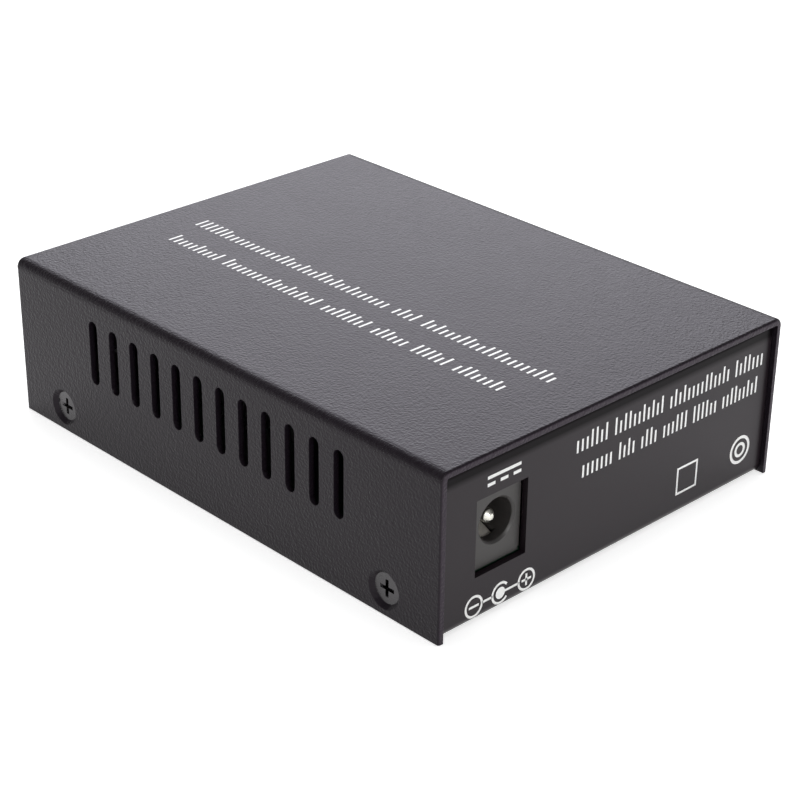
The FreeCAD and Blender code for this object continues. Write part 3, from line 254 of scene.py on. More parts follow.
def drawn_group():
    """Fine lines and broad handling marks for bare metal."""
    group, given, result = new_group("drawn_lines", "ShaderNodeTree", FINISH_INPUTS, FINISH_OUTPUTS)
    scale = calculated(group, "DIVIDE", 1.0, given["Size"])
    wide_scale = calculated(group, "MULTIPLY", scale, WIDE_PATTERN)
    lines = noise(group, given["Vector"], scale, LINE_DETAIL)
    marks = noise(group, given["Vector"], wide_scale, MARK_DETAIL)
    shade = around_one(group, marks, given["Colour spread"])
    put(group, tinted(group, given["Colour"], shade), result["Colour"])
    gloss = around_one(group, lines, given["Roughness spread"])
    put(group, calculated(group, "MULTIPLY", given["Roughness"], gloss), result["Roughness"])
    put(group, lines, result["Height"])
    return group


drawn = drawn_group()
print("group", drawn.name, "with", len(drawn.nodes), "nodes")

# %% [markdown]
# ## Materials
# Each material reads Object coordinates, which on these pieces are real metres, so a grain of 0.4 mm is
# 0.4 mm everywhere. The bump's distance is the height given to the grain.

# %% A material from an effect and a few plain values


def finish(name, effect, colour, size, roughness, spread=0.1, gloss_spread=0.15, height=0.01 * MM,
           bump=0.4, stretch=(1, 1, 1), **plain):
    """A material whose colour, roughness and relief come from one shared effect."""
    material = bpy.data.materials.new(name)
    material.use_nodes = True
    tree = material.node_tree
    shader = tree.nodes["Principled BSDF"]
    place = tree.nodes.new("ShaderNodeTexCoord")
    mapping = tree.nodes.new("ShaderNodeMapping")
    mapping.inputs["Scale"].default_value = stretch
    tree.links.new(place.outputs["Object"], mapping.inputs["Vector"])
    pattern = tree.nodes.new("ShaderNodeGroup")
    pattern.node_tree = effect
    tree.links.new(mapping.outputs["Vector"], pattern.inputs["Vector"])
    pattern.inputs["Size"].default_value = size
    pattern.inputs["Colour"].default_value = (*colour, 1.0)
    pattern.inputs["Colour spread"].default_value = spread
    pattern.inputs["Roughness"].default_value = roughness
    pattern.inputs["Roughness spread"].default_value = gloss_spread
    relief = tree.nodes.new("ShaderNodeBump")
    relief.inputs["Strength"].default_value = bump
    relief.inputs["Distance"].default_value = height
    tree.links.new(pattern.outputs["Height"], relief.inputs["Height"])
    tree.links.new(pattern.outputs["Colour"], shader.inputs["Base Color"])
    tree.links.new(pattern.outputs["Roughness"], shader.inputs["Roughness"])
    tree.links.new(relief.outputs["Normal"], shader.inputs["Normal"])
    for label, value in plain.items():
        shader.inputs[label.replace("_", " ").title().replace("Ior", "IOR")].default_value = value
    return material


# %% [markdown]
# ### Paints
# The cover has a black powder coat with a fine leathery grain that breaks up the light from above. The
# tray under it is smoother, so the rear panel shows a soft even sheen. Both blacks lean a little towards
# violet.

# %% Paints
finishes = {}
PAINT_TINT = (1.0, 0.95, 1.0, 1.0)
finishes["cover_paint"] = finish("cover_powder_coat", grain, (0.0088, 0.0062, 0.0092), 0.38 * MM, 0.36,
                                 spread=0.3, gloss_spread=0.04, height=0.10 * MM, bump=0.9,
                                 specular_ior_level=0.19, specular_tint=PAINT_TINT)
finishes["tray_paint"] = finish("tray_satin_paint", grain, (0.0102, 0.0070, 0.0090), 0.30 * MM, 0.32,
                                spread=0.2, gloss_spread=0.1, height=0.008 * MM, bump=0.35,
                                specular_tint=PAINT_TINT)
print("paints:", len(finishes))

# %% [markdown]
# Some light and shade is painted into the colour of a piece. A mask is a small group that finds one place on
# it and gives out a factor, and the factor is put between the paint's colour and its shader.

# %% Put a mask in a paint


def masked(material, group, label, value):
    """Sets a mask group in a material, scales the colour by its factor and gives the factor back."""
    tree = material.node_tree
    mask = tree.nodes.new("ShaderNodeGroup")
    mask.node_tree = group
    mask.inputs[label].default_value = value
    place = next(node for node in tree.nodes if node.bl_idname == "ShaderNodeTexCoord")
    tree.links.new(place.outputs["Object"], mask.inputs["Vector"])
    colour = tree.nodes["Principled BSDF"].inputs["Base Color"]
    painted = colour.links[0].from_socket
    put(tree, tinted(tree, painted, mask.outputs["Factor"]), colour)
    return mask.outputs["Factor"]


# %% [markdown]
# The cover is painted after it is cut. Its cut ends catch the light as a thin bright line, and the first
# mask paints that highlight into the colour: it finds those ends by their distance along the case.

# %% Painted highlight on the cut ends of the cover
END_DEPTH = 0.05 * MM
# How much lighter the painted highlight makes the cut ends.
HIGHLIGHT_GAIN = 2.8


def end_highlight_group():
    """A factor for the colour: one on the faces, more at the two cut ends along Y, where it paints a
    highlight.
    """
    inputs = [("Vector", "NodeSocketVector", None), ("Half length", "NodeSocketFloat", None),
              ("Gain", "NodeSocketFloat", HIGHLIGHT_GAIN)]
    outputs = [("Factor", "NodeSocketFloat")]
    group, given, result = new_group("end_highlight", "ShaderNodeTree", inputs, outputs)
    parts = group.nodes.new("ShaderNodeSeparateXYZ")
    put(group, given["Vector"], parts.inputs[0])
    along = calculated(group, "ABSOLUTE", parts.outputs["Y"], 0.0)
    inner = calculated(group, "SUBTRACT", given["Half length"], END_DEPTH)
    at_end = calculated(group, "GREATER_THAN", along, inner)
    more = calculated(group, "SUBTRACT", given["Gain"], 1.0)
    extra = calculated(group, "MULTIPLY", at_end, more)
    put(group, calculated(group, "ADD", extra, 1.0), result["Factor"])
    return group


end_highlight = end_highlight_group()
# The cut ends get a lighter colour here: a painted highlight.
masked(finishes["cover_paint"], end_highlight, "Half length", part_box("top_cover")[1].y)
print("group", end_highlight.name, "with", len(end_highlight.nodes), "nodes")

# %% [markdown]
# On the real case the front and rear panels turn inwards just under the cover, and the outside of the
# turn mirrors the dim space above as a dark band. The turn is hidden behind the cover here, so that dark
# reflection is painted shade: the second mask finds it by its height, and the tray's paint loses colour and
# shine there.

# %% Painted shade on the turned top of the panels
BAND_DEPTH = 2.1 * MM
BAND_FADE = 0.5 * MM
# How much of the colour is left in the painted shade.
SHADE_LEVEL = 0.28
TRAY_SHINE = 0.225


def bend_shade_group():
    """A factor for colour and shine: one on the panels, less near their top, where it paints shade."""
    inputs = [("Vector", "NodeSocketVector", None), ("Top", "NodeSocketFloat", None),
              ("Level", "NodeSocketFloat", SHADE_LEVEL)]
    outputs = [("Factor", "NodeSocketFloat")]
    group, given, result = new_group("bend_shade", "ShaderNodeTree", inputs, outputs)
    parts = group.nodes.new("ShaderNodeSeparateXYZ")
    put(group, given["Vector"], parts.inputs[0])
    under = calculated(group, "SUBTRACT", given["Top"], parts.outputs["Z"])
    fade = BAND_DEPTH - BAND_FADE, BAND_DEPTH + BAND_FADE
    put(group, ranged(group, under, *fade, given["Level"], 1.0), result["Factor"])
    return group


bend_shade = bend_shade_group()
# Near the panels' tops the tray's colour and shine drop: painted shade.
band = masked(finishes["tray_paint"], bend_shade, "Top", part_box("base_tray")[1].z)
tray_tree = finishes["tray_paint"].node_tree
shine = calculated(tray_tree, "MULTIPLY", band, TRAY_SHINE)
put(tray_tree, shine, tray_tree.nodes["Principled BSDF"].inputs["Specular IOR Level"])
print("group", bend_shade.name, "with", len(bend_shade.nodes), "nodes")

# %% [markdown]
# ### Plastics
# The sockets are moulded in black and dark grey plastic with a dull fine grain. The light guide is a
# clear moulding: it keeps a plain transmission and gets only a very slight ripple.

# %% Plastics
finishes["jack_plastic"] = finish("socket_face_plastic", grain, (0.027, 0.0245, 0.0235), 0.18 * MM, 0.45,
                                  height=0.008 * MM)
finishes["socket_plastic"] = finish("copper_socket_plastic", grain, (0.016, 0.016, 0.017), 0.15 * MM, 0.42,
                                    height=0.006 * MM)
finishes["connector_plastic"] = finish("module_connector_plastic", grain, (0.02, 0.02, 0.02), 0.15 * MM,
                                       0.5, height=0.006 * MM)
finishes["chip_plastic"] = finish("moulded_chip", grain, (0.018, 0.018, 0.019), 0.12 * MM, 0.55,
                                  height=0.006 * MM)
finishes["board_laminate"] = finish("board_laminate", grain, (0.004, 0.022, 0.011), 0.5 * MM, 0.35,
                                    height=0.01 * MM)
finishes["pad_silicone"] = finish("soft_pad", grain, (0.16, 0.22, 0.30), 0.2 * MM, 0.7,
                                  height=0.01 * MM)
finishes["ferrite"] = finish("pressed_ferrite", grain, (0.05, 0.05, 0.055), 0.15 * MM, 0.6,
                             height=0.01 * MM)
finishes["ceramic"] = finish("fired_ceramic", grain, (0.30, 0.20, 0.11), 0.15 * MM, 0.4,
                             height=0.004 * MM)
finishes["clear_plastic"] = finish("clear_light_guide", grain, (0.92, 0.94, 0.95), 1.5 * MM, 0.12,
                                   spread=0.02, height=0.002 * MM, transmission_weight=0.85, ior=1.49)
finishes["indicator_resin"] = finish("indicator_resin", grain, (0.75, 0.70, 0.45), 0.3 * MM, 0.3,
                                     height=0.004 * MM)
print("finishes so far:", len(finishes))

# %% [markdown]
# ### Metals
# The screws are dark plated steel, a little uneven in gloss. The shield, the cage and the cans are drawn
# sheet with lines along their length. Contacts are nickel or gold plated spring strip.

# %% Metals
ALONG_Y = (1, 0.06, 1)
ALONG_Z = (1, 1, 0.06)
finishes["screw_steel"] = finish("dark_plated_screw", drawn, (0.085, 0.082, 0.085), 0.25 * MM, 0.26,
                                 spread=0.35, gloss_spread=0.3, height=0.01 * MM, metallic=1.0)
finishes["standoff_steel"] = finish("plated_standoff", drawn, (0.46, 0.45, 0.43), 0.2 * MM, 0.34,
                                    stretch=ALONG_Z, metallic=1.0)
finishes["shield_metal"] = finish("bright_tinplate", drawn, (0.60, 0.59, 0.57), 0.16 * MM, 0.28,
                                  stretch=ALONG_Y, height=0.004 * MM, metallic=1.0)
finishes["cage_metal"] = finish("stainless_sheet", drawn, (0.56, 0.56, 0.55), 0.14 * MM, 0.3,
                                stretch=ALONG_Y, height=0.004 * MM, metallic=1.0)
finishes["contact_nickel"] = finish("nickel_strip", drawn, (0.74, 0.71, 0.66), 0.1 * MM, 0.6,
                                    stretch=ALONG_Y, height=0.003 * MM, metallic=1.0)
finishes["contact_gold"] = finish("gold_plate", drawn, (0.85, 0.60, 0.24), 0.1 * MM, 0.22,
                                  stretch=ALONG_Y, height=0.003 * MM, metallic=1.0)
finishes["pin_metal"] = finish("turned_pin", drawn, (0.70, 0.69, 0.63), 0.12 * MM, 0.36,
                               spread=0.15, height=0.004 * MM, metallic=1.0)
finishes["lead_tin"] = finish("tinned_lead", drawn, (0.62, 0.62, 0.61), 0.1 * MM, 0.4,
                              height=0.003 * MM, metallic=1.0)
finishes["crystal_metal"] = finish("drawn_can", drawn, (0.62, 0.61, 0.58), 0.15 * MM, 0.3,
                                   stretch=ALONG_Z, height=0.003 * MM, metallic=1.0)
finishes["can_aluminium"] = finish("capacitor_can", drawn, (0.74, 0.74, 0.75), 0.15 * MM, 0.3,
                                   stretch=ALONG_Z, height=0.003 * MM, metallic=1.0)
finishes["sink_aluminium"] = finish("black_anodised_fins", drawn, (0.02, 0.02, 0.021), 0.2 * MM, 0.4,
                                    stretch=ALONG_Y, height=0.004 * MM, metallic=0.6)
print("finishes in all:", len(finishes), "missing:", sorted(set(slot_of.values()) - set(finishes)))

# %% [markdown]
# ## Dress the solids
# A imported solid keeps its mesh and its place. Only its material is changed, after the slot that the
# record names for it.

# %% Put the finishes on every solid
for node, slot in slot_of.items():
    for holder in nodes[node].material_slots:
        holder.material = finishes[slot]
print("dressed", len(slot_of), "solids")

# %% [markdown]
# ## Edges that catch the light
# A solid's edge is perfectly sharp, and a sharp edge reflects nothing. Real sheet is sheared and painted,
# and real plastic leaves its mould with a small radius. So each piece that shows gets a finished copy:
# its triangles are merged back into faces and a narrow bevel goes round every edge, a tenth of a
# millimetre or so.
#
# Some long edges are rounder than that. Powder flows round the cut ends of the cover and leaves them
# soft, and the front and rear panels are rounded at the top, where they meet the cover.

# %% A copy of a solid with softened edges
SAME_POINT = 0.002 * MM
NEAR = 0.01 * MM
SHEET = 1.0 * MM
FLAT_ANGLE = math.radians(0.5)
EDGE_ANGLE = math.radians(32)
EDGE_SEGMENTS = 2
ROLL_SEGMENTS = 4


def plain_mesh(piece):
    """Turns a piece with modifiers into a plain mesh."""
    graph = bpy.context.evaluated_depsgraph_get()
    mesh = bpy.data.meshes.new_from_object(piece.evaluated_get(graph))
    piece.modifiers.clear()
    piece.data = mesh
    return piece


def merged_copy(node):
    """A solid's mesh with its loose triangles joined into flat faces."""
    work = bmesh.new()
    work.from_mesh(nodes[node].data)
    bmesh.ops.remove_doubles(work, verts=work.verts, dist=SAME_POINT)
    bmesh.ops.dissolve_limit(work, angle_limit=FLAT_ANGLE, verts=work.verts, edges=work.edges)
    for face in work.faces:
        face.smooth = True
    mesh = bpy.data.meshes.new(node)
    work.to_mesh(mesh)
    work.free()
    return mesh


def on_cover_rim(point, low, high):
    """Whether a point is on the outer line of the cover's cut ends."""
    at_end = min(high.y - point.y, point.y - low.y) < NEAR
    outside = min(high.x - point.x, point.x - low.x, high.z - point.z) < SHEET / 2
    return at_end and outside


def on_panel_top(point, low, high):
    """Whether a point is on the outer upper edge of the front or rear panel."""
    return min(high.y - point.y, point.y - low.y) < NEAR and high.z - point.z < NEAR


def rolled(piece, node, width, belongs):
    """Rounds the edges whose two ends both pass a test."""
    low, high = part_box(node)
    chosen = [point.index for point in piece.data.vertices if belongs(point.co, low, high)]
    piece.vertex_groups.new(name="rolled").add(chosen, 1.0, "REPLACE")
    bevel = piece.modifiers.new("Rolled edges", "BEVEL")
    bevel.width = width
    bevel.segments = ROLL_SEGMENTS
    bevel.limit_method = "VGROUP"
    bevel.vertex_group = "rolled"
    bevel.use_clamp_overlap = False
    print(piece.name, "has", len(chosen), "points on its rolled edges")


def held_inside(piece, node):
    """Brings points that a bevel pushed out back to the solid's own box."""
    low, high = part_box(node)
    for point in piece.data.vertices:
        point.co = [min(max(value, least), most) for value, least, most in zip(point.co, low, high)]


def softened(node, edge):
    """The finished copy that stands for a solid."""
    piece = bpy.data.objects.new(node + "_finished", merged_copy(node))
    scene.collection.objects.link(piece)
    piece.data.materials.append(finishes[slot_of[node]])
    if node in ROLLED:
        rolled(piece, node, *ROLLED[node])
    bevel = piece.modifiers.new("Edges", "BEVEL")
    bevel.width = edge
    bevel.segments = EDGE_SEGMENTS
    bevel.limit_method = "ANGLE"
    bevel.angle_limit = EDGE_ANGLE
    bevel.use_clamp_overlap = True
    shading = piece.modifiers.new("Shading", "WEIGHTED_NORMAL")
    shading.keep_sharp = True
    held_inside(plain_mesh(piece), node)
    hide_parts(node)
    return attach(piece, "root")


# %% [markdown]
# Thin parts get the narrowest bevel. The pin of the power socket has a rounded tip, so its bevel is the
# widest.

# %% Soften the pieces that show
ROLLED = {
    "top_cover": (0.42 * MM, on_cover_rim),
    "base_tray": (0.90 * MM, on_panel_top),
}
EDGES = {
    "top_cover": 0.15 * MM,
    "base_tray": 0.08 * MM,
    "cover_screws": 0.07 * MM,
    "power_jack_housing": 0.12 * MM,
    "power_jack_centre_pin": 0.22 * MM,
    "power_jack_spring_contact": 0.04 * MM,
    "copper_jack_shield": 0.06 * MM,
    "copper_jack_housing": 0.06 * MM,
    "copper_jack_contacts": 0.05 * MM,
    "module_cage": 0.05 * MM,
    "module_cage_fingers": 0.03 * MM,
    "module_connector_housing": 0.06 * MM,
    "light_guide": 0.12 * MM,
    "board_standoffs": 0.10 * MM,
}
for node, edge in EDGES.items():
    piece = softened(node, edge)
    print(piece.name, len(piece.data.polygons), "faces")

# %% [markdown]
# ## White print
# The marks on the case are screen printed: a flat film of white ink, about a hundredth of a millimetre
# thick. It could be painted by a material, but real thin shapes stay sharp at any distance and keep their
# place in every tool. Where the real case has words, this one has rows of plain strokes, which say
# nothing.

# %% Ink and the places that are printed on
INK_DEPTH = 0.01 * MM
finishes["print_ink"] = finish("white_ink", grain, (0.90, 0.90, 0.89), 0.2 * MM, 0.5,
                               spread=0.04, height=0.004 * MM)
top_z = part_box("top_cover")[1].z
rear_panel_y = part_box("base_tray")[1].y


def face_frame(across, upward, origin):
    """Where a print's own axes lie on the case: across the words, up the letters, out of the face."""
    across, upward = Vector(across), Vector(upward)
    axes = Matrix((across, upward, across.cross(upward))).transposed().to_4x4()
    return Matrix.Translation(origin) @ axes


def on_top(x, y):
    """A place on the top. Words run from the front to the rear, with their tops towards -X."""
    return face_frame((0, 1, 0), (-1, 0, 0), (x, y, top_z))


def on_rear(x, z):
    """A place on the rear panel, read from outside."""
    return face_frame((-1, 0, 0), (0, 0, 1), (x, rear_panel_y, z))


def printed(piece, place):
    """Sets a flat shape on the case as part of its print."""
    piece.data.transform(place)
    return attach(piece, "root")


print("ink", round(INK_DEPTH / MM, 3), "mm deep, top at", round(top_z / MM, 2), "mm")

# %% [markdown]
# ### Rows of strokes
# A row of words is a line of upright strokes, some tall and some low, with gaps between the words. The
# lengths of the words are a list, which is all that a designer would want to change. Geometry Nodes then
# stand a stroke on every point and choose the tall ones. The seed keeps the row the same at every run.

# %% Build the tree for a row of strokes
LOW_STROKE = 1.9 * MM
TALL_STROKE = 2.7 * MM
TALL_SHARE = 0.35
TOP_STROKE = 0.38 * MM
REAR_STROKE = 0.36 * MM


def one_value(sockets):
    """The socket that is in use among several of one name."""
    return [socket for socket in sockets if socket.enabled][0]


def chance(tree, probability, seed):
    """True or false for each point."""
    node = tree.nodes.new("FunctionNodeRandomValue")
    node.data_type = "BOOLEAN"
    put(tree, probability, node.inputs["Probability"])
    put(tree, seed, node.inputs["Seed"])
    return one_value(node.outputs)


def joined_vector(tree, x, y, z):
    """Three numbers as one vector."""
    node = tree.nodes.new("ShaderNodeCombineXYZ")
    for socket, value in zip(node.inputs, (x, y, z)):
        put(tree, value, socket)
    return node.outputs[0]


def stroke_row_tree():
    """An upright stroke on every point, some of them tall."""
    inputs = [
        ("Points", "NodeSocketGeometry", None),
        ("Stroke width", "NodeSocketFloat", TOP_STROKE),
        ("Low height", "NodeSocketFloat", LOW_STROKE),
        ("Tall height", "NodeSocketFloat", TALL_STROKE),
        ("Tall share", "NodeSocketFloat", TALL_SHARE),
        ("Seed", "NodeSocketInt", 1),
        ("Ink depth", "NodeSocketFloat", INK_DEPTH),
        ("Ink", "NodeSocketMaterial", None),
    ]
    outputs = [("Geometry", "NodeSocketGeometry")]
    tree, given, result = new_group("stroke_row", "GeometryNodeTree", inputs, outputs)
    height = tree.nodes.new("GeometryNodeSwitch")
    height.input_type = "FLOAT"
    put(tree, chance(tree, given["Tall share"], given["Seed"]), height.inputs["Switch"])
    put(tree, given["Low height"], height.inputs["False"])
    put(tree, given["Tall height"], height.inputs["True"])
    stroke = tree.nodes.new("GeometryNodeMeshCube")
    standing = tree.nodes.new("GeometryNodeTransform")
    standing.inputs["Translation"].default_value = (0, 0.5, 0.5)
    put(tree, stroke.outputs["Mesh"], standing.inputs["Geometry"])
    placed = tree.nodes.new("GeometryNodeInstanceOnPoints")
    put(tree, given["Points"], placed.inputs["Points"])
    put(tree, standing.outputs["Geometry"], placed.inputs["Instance"])
    size = joined_vector(tree, given["Stroke width"], height.outputs[0], given["Ink depth"])
    put(tree, size, placed.inputs["Scale"])
    real = tree.nodes.new("GeometryNodeRealizeInstances")
    put(tree, placed.outputs["Instances"], real.inputs["Geometry"])
    inked = tree.nodes.new("GeometryNodeSetMaterial")
    put(tree, real.outputs["Geometry"], inked.inputs["Geometry"])
    put(tree, given["Ink"], inked.inputs["Material"])
    put(tree, inked.outputs["Geometry"], result["Geometry"])
    return tree


def grown(name, tree, values, mesh):
    """A plain mesh made by a tree, with the tree's named inputs set."""
    piece = bpy.data.objects.new(name, mesh)
    scene.collection.objects.link(piece)
    shaping = piece.modifiers.new("Shape", "NODES")
    shaping.node_group = tree
    sockets = [item for item in tree.interface.items_tree if item.in_out == "INPUT"]
    identifiers = {item.name: item.identifier for item in sockets}
    for label, value in values.items():
        shaping[identifiers[label]] = value
    return plain_mesh(piece)


def word_points(name, length, words):
    """A point for every stroke of some words over a length, with one stroke's gap between words."""
    pitch = length / (sum(words) + len(words) - 2)
    points = []
    here = 0
    for word in words:
        points += [((here + index) * pitch, 0, 0) for index in range(word)]
        here += word + 1
    mesh = bpy.data.meshes.new(name)
    mesh.from_pydata(points, [], [])
    return mesh


stroke_row = stroke_row_tree()
print("tree", stroke_row.name, "with", len(stroke_row.nodes), "nodes")

# %% [markdown]
# The two rows on the top are long, and the two on the rear panel are shorter. Each has its place, its
# length, its words, the width of its stroke and a seed of its own.

# %% Print the rows
ROWS = {
    "top_print_long_row":
        (on_top(6.2 * MM, -39.0 * MM), 77.0 * MM, (36, 4, 21), TOP_STROKE, 11),
    "top_print_short_row":
        (on_top(13.2 * MM, -37.0 * MM), 72.0 * MM, (10, 18, 8, 6, 6, 8), TOP_STROKE, 23),
    "rear_print_upper_row":
        (on_rear(8.4 * MM, 18.9 * MM), 40.7 * MM, (7, 11, 14, 7), REAR_STROKE, 5),
    "rear_print_lower_row":
        (on_rear(7.0 * MM, 14.6 * MM), 38.5 * MM, (7, 4, 4, 6, 6, 9), REAR_STROKE, 8),
}
for name, (place, length, words, stroke, seed) in ROWS.items():
    values = {"Stroke width": stroke, "Low height": LOW_STROKE, "Tall height": TALL_STROKE,
              "Tall share": TALL_SHARE, "Seed": seed, "Ink depth": INK_DEPTH, "Ink": finishes["print_ink"]}
    row = printed(grown(name, stroke_row, values, word_points(name, length, words)), place)
    print(row.name, len(row.data.polygons) // 6, "strokes")

# %% [markdown]
# ### Signs drawn with one pen
# The signs on the rear panel are drawn with lines: rings, a ring with a gap, a square and short bars.
# Each is a path, and a tree sweeps a flat nib along it.

# %% Build the tree for an ink line
FINE_PEN = 0.38 * MM
BROAD_PEN = 0.5 * MM
FULL_TURN = 360.0


def ink_line_tree():
    """A flat band of ink along the edges of a mesh that lies in its own XY plane."""
    inputs = [
        ("Geometry", "NodeSocketGeometry", None),
        ("Line width", "NodeSocketFloat", FINE_PEN),
        ("Ink depth", "NodeSocketFloat", INK_DEPTH),
        ("Ink", "NodeSocketMaterial", None),
    ]
    outputs = [("Geometry", "NodeSocketGeometry")]
    tree, given, result = new_group("ink_line", "GeometryNodeTree", inputs, outputs)
    path = tree.nodes.new("GeometryNodeMeshToCurve")
    put(tree, given["Geometry"], path.inputs["Mesh"])
    level = tree.nodes.new("GeometryNodeSetCurveNormal")
    level.mode = "Z_UP"
    put(tree, path.outputs["Curve"], level.inputs["Curve"])
    nib = tree.nodes.new("GeometryNodeCurvePrimitiveQuadrilateral")
    put(tree, given["Line width"], nib.inputs["Width"])
    put(tree, given["Line width"], nib.inputs["Height"])
    swept = tree.nodes.new("GeometryNodeCurveToMesh")
    put(tree, level.outputs["Curve"], swept.inputs["Curve"])
    put(tree, nib.outputs["Curve"], swept.inputs["Profile Curve"])
    put(tree, True, swept.inputs["Fill Caps"])
    where = tree.nodes.new("GeometryNodeInputPosition")
    flat = tree.nodes.new("ShaderNodeVectorMath")
    flat.operation = "MULTIPLY"
    put(tree, where.outputs[0], flat.inputs[0])
    share = calculated(tree, "DIVIDE", given["Ink depth"], given["Line width"])
    put(tree, joined_vector(tree, 1.0, 1.0, share), flat.inputs[1])
    pressed = tree.nodes.new("GeometryNodeSetPosition")
    put(tree, swept.outputs["Mesh"], pressed.inputs["Geometry"])
    put(tree, flat.outputs[0], pressed.inputs["Position"])
    inked = tree.nodes.new("GeometryNodeSetMaterial")
    put(tree, pressed.outputs["Geometry"], inked.inputs["Geometry"])
    put(tree, given["Ink"], inked.inputs["Material"])
    put(tree, inked.outputs["Geometry"], result["Geometry"])
    return tree


def arc(x, y, radius, start=0.0, end=FULL_TURN, steps=48):
    """Points of an arc. A full turn comes back to its first point."""
    angles = [math.radians(start + (end - start) * index / steps) for index in range(steps + 1)]
    points = [(x + radius * math.cos(a), y + radius * math.sin(a)) for a in angles]
    if end - start >= FULL_TURN:
        points[-1] = points[0]
    return points


def path_mesh(name, paths):
    """Edges along lines of points, in millimetres. A line that ends where it began is closed."""
    points, edges = [], []
    for path in paths:
        first = len(points)
        closed = path[0] == path[-1]
        kept = path[:-1] if closed else path
        points += [(x * MM, y * MM, INK_DEPTH / 2) for x, y in kept]
        edges += [(first + index, first + index + 1) for index in range(len(kept) - 1)]
        if closed:
            edges.append((first + len(kept) - 1, first))
    mesh = bpy.data.meshes.new(name)
    mesh.from_pydata(points, edges, [])
    return mesh


def sign(name, place, width, paths):
    """A sign drawn with one pen width on the case."""
    values = {"Line width": width, "Ink depth": INK_DEPTH, "Ink": finishes["print_ink"]}
    return printed(grown(name, ink_line, values, path_mesh(name, paths)), place)


ink_line = ink_line_tree()
print("tree", ink_line.name, "with", len(ink_line.nodes), "nodes")

# %% [markdown]
# The sign for polarity, under the power socket, joins a minus, the socket and a plus. The sizes of the signs
# are in millimetres.

# %% Draw the polarity sign
POLARITY_AT = on_rear(22.85 * MM, 2.65 * MM)
SIGN_RING = 1.55
SIGN_STEP = 5.15
SIGN_BAR = 0.95
RING_GAP = 38.0
minus_x, plus_x = -SIGN_STEP, SIGN_STEP
polarity_paths = [
    arc(minus_x, 0, SIGN_RING),
    [(minus_x - SIGN_BAR, 0), (minus_x + SIGN_BAR, 0)],
    [(minus_x + SIGN_RING, 0), (-SIGN_RING, 0)],
    arc(0, 0, SIGN_RING, RING_GAP, FULL_TURN - RING_GAP),
    [(0, 0), (plus_x - SIGN_RING, 0)],
    arc(plus_x, 0, SIGN_RING),
    [(plus_x - SIGN_BAR, 0), (plus_x + SIGN_BAR, 0)],
    [(plus_x, -SIGN_BAR), (plus_x, SIGN_BAR)],
]
polarity = sign("rear_print_polarity_sign", POLARITY_AT, FINE_PEN, polarity_paths)
print(polarity.name, len(polarity.data.polygons), "faces")

# %% [markdown]
# The sign for direct current, over the socket, is a line with three dashes under it. The dashes take up most
# of the line's length, and the two gaps share what is left.

# %% Draw the direct current sign
CURRENT_AT = on_rear(22.9 * MM, 21.1 * MM)
CURRENT_HALF = 3.2
DASHES_IN_LINE = 4.4
CURRENT_DASH = 2 * CURRENT_HALF / DASHES_IN_LINE
CURRENT_RISE = 0.55
current_paths = [[(-CURRENT_HALF, CURRENT_RISE), (CURRENT_HALF, CURRENT_RISE)]]
for index in (-1, 0, 1):
    middle = index * (CURRENT_HALF - CURRENT_DASH / 2)
    dash_ends = middle - CURRENT_DASH / 2, middle + CURRENT_DASH / 2
    current_paths.append([(x, -CURRENT_RISE) for x in dash_ends])
current = sign("rear_print_direct_current_sign", CURRENT_AT, BROAD_PEN, current_paths)
print(current.name, len(current.data.polygons), "faces")

# %% [markdown]
# A plain square and a plain double ring stand for the marks at the other end of the panel.

# %% Draw the plain marks
MARKS_AT = on_rear(0, 5.8 * MM)
MARK_HALF = 2.1
RING_X = 29.0
RING_INNER = 1.0
SQUARE_ENDS = (14.3, 18.7)
near_x, far_x = SQUARE_ENDS
square = [(near_x, -MARK_HALF), (far_x, -MARK_HALF), (far_x, MARK_HALF), (near_x, MARK_HALF),
          (near_x, -MARK_HALF)]
mark_paths = [arc(RING_X, 0, MARK_HALF), arc(RING_X, 0, RING_INNER), square]
marks = sign("rear_print_plain_marks", MARKS_AT, BROAD_PEN, mark_paths)
print(marks.name, len(marks.data.polygons), "faces")

# %% [markdown]
# The dot in the middle of the polarity sign is a filled disc, which no pen line gives.

# %% The dot of the polarity sign
DOT_RADIUS = 0.9 * MM
DOT_STEPS = 32


def dot(name, place, radius):
    """A filled disc of ink."""
    work = bmesh.new()
    bmesh.ops.create_cone(work, cap_ends=True, segments=DOT_STEPS, radius1=radius, radius2=radius,
                          depth=INK_DEPTH, matrix=Matrix.Translation((0, 0, INK_DEPTH / 2)))
    mesh = bpy.data.meshes.new(name)
    work.to_mesh(mesh)
    work.free()
    mesh.materials.append(finishes["print_ink"])
    piece = bpy.data.objects.new(name, mesh)
    scene.collection.objects.link(piece)
    return printed(piece, place)


polarity_dot = dot("rear_print_polarity_dot", POLARITY_AT, DOT_RADIUS)
print(polarity_dot.name, len(polarity_dot.data.polygons), "faces")

# %% [markdown]
# ## Floor and light
# The floor is white and takes the soft shadow under the case. To the camera and in reflections it is
# lifted a little towards white, which leaves its shadow in place. Far from the case it is lifted all the
# way, so that its end can't be told from the white behind it.

# %% Floor
FLOOR_HALF = 3.0
FLOOR_DROP = 0.05 * MM
FLOOR_COLOUR = 0.80
FLOOR_LIFT = 0.56
FLOOR_FADE = (0.4, 1.4)


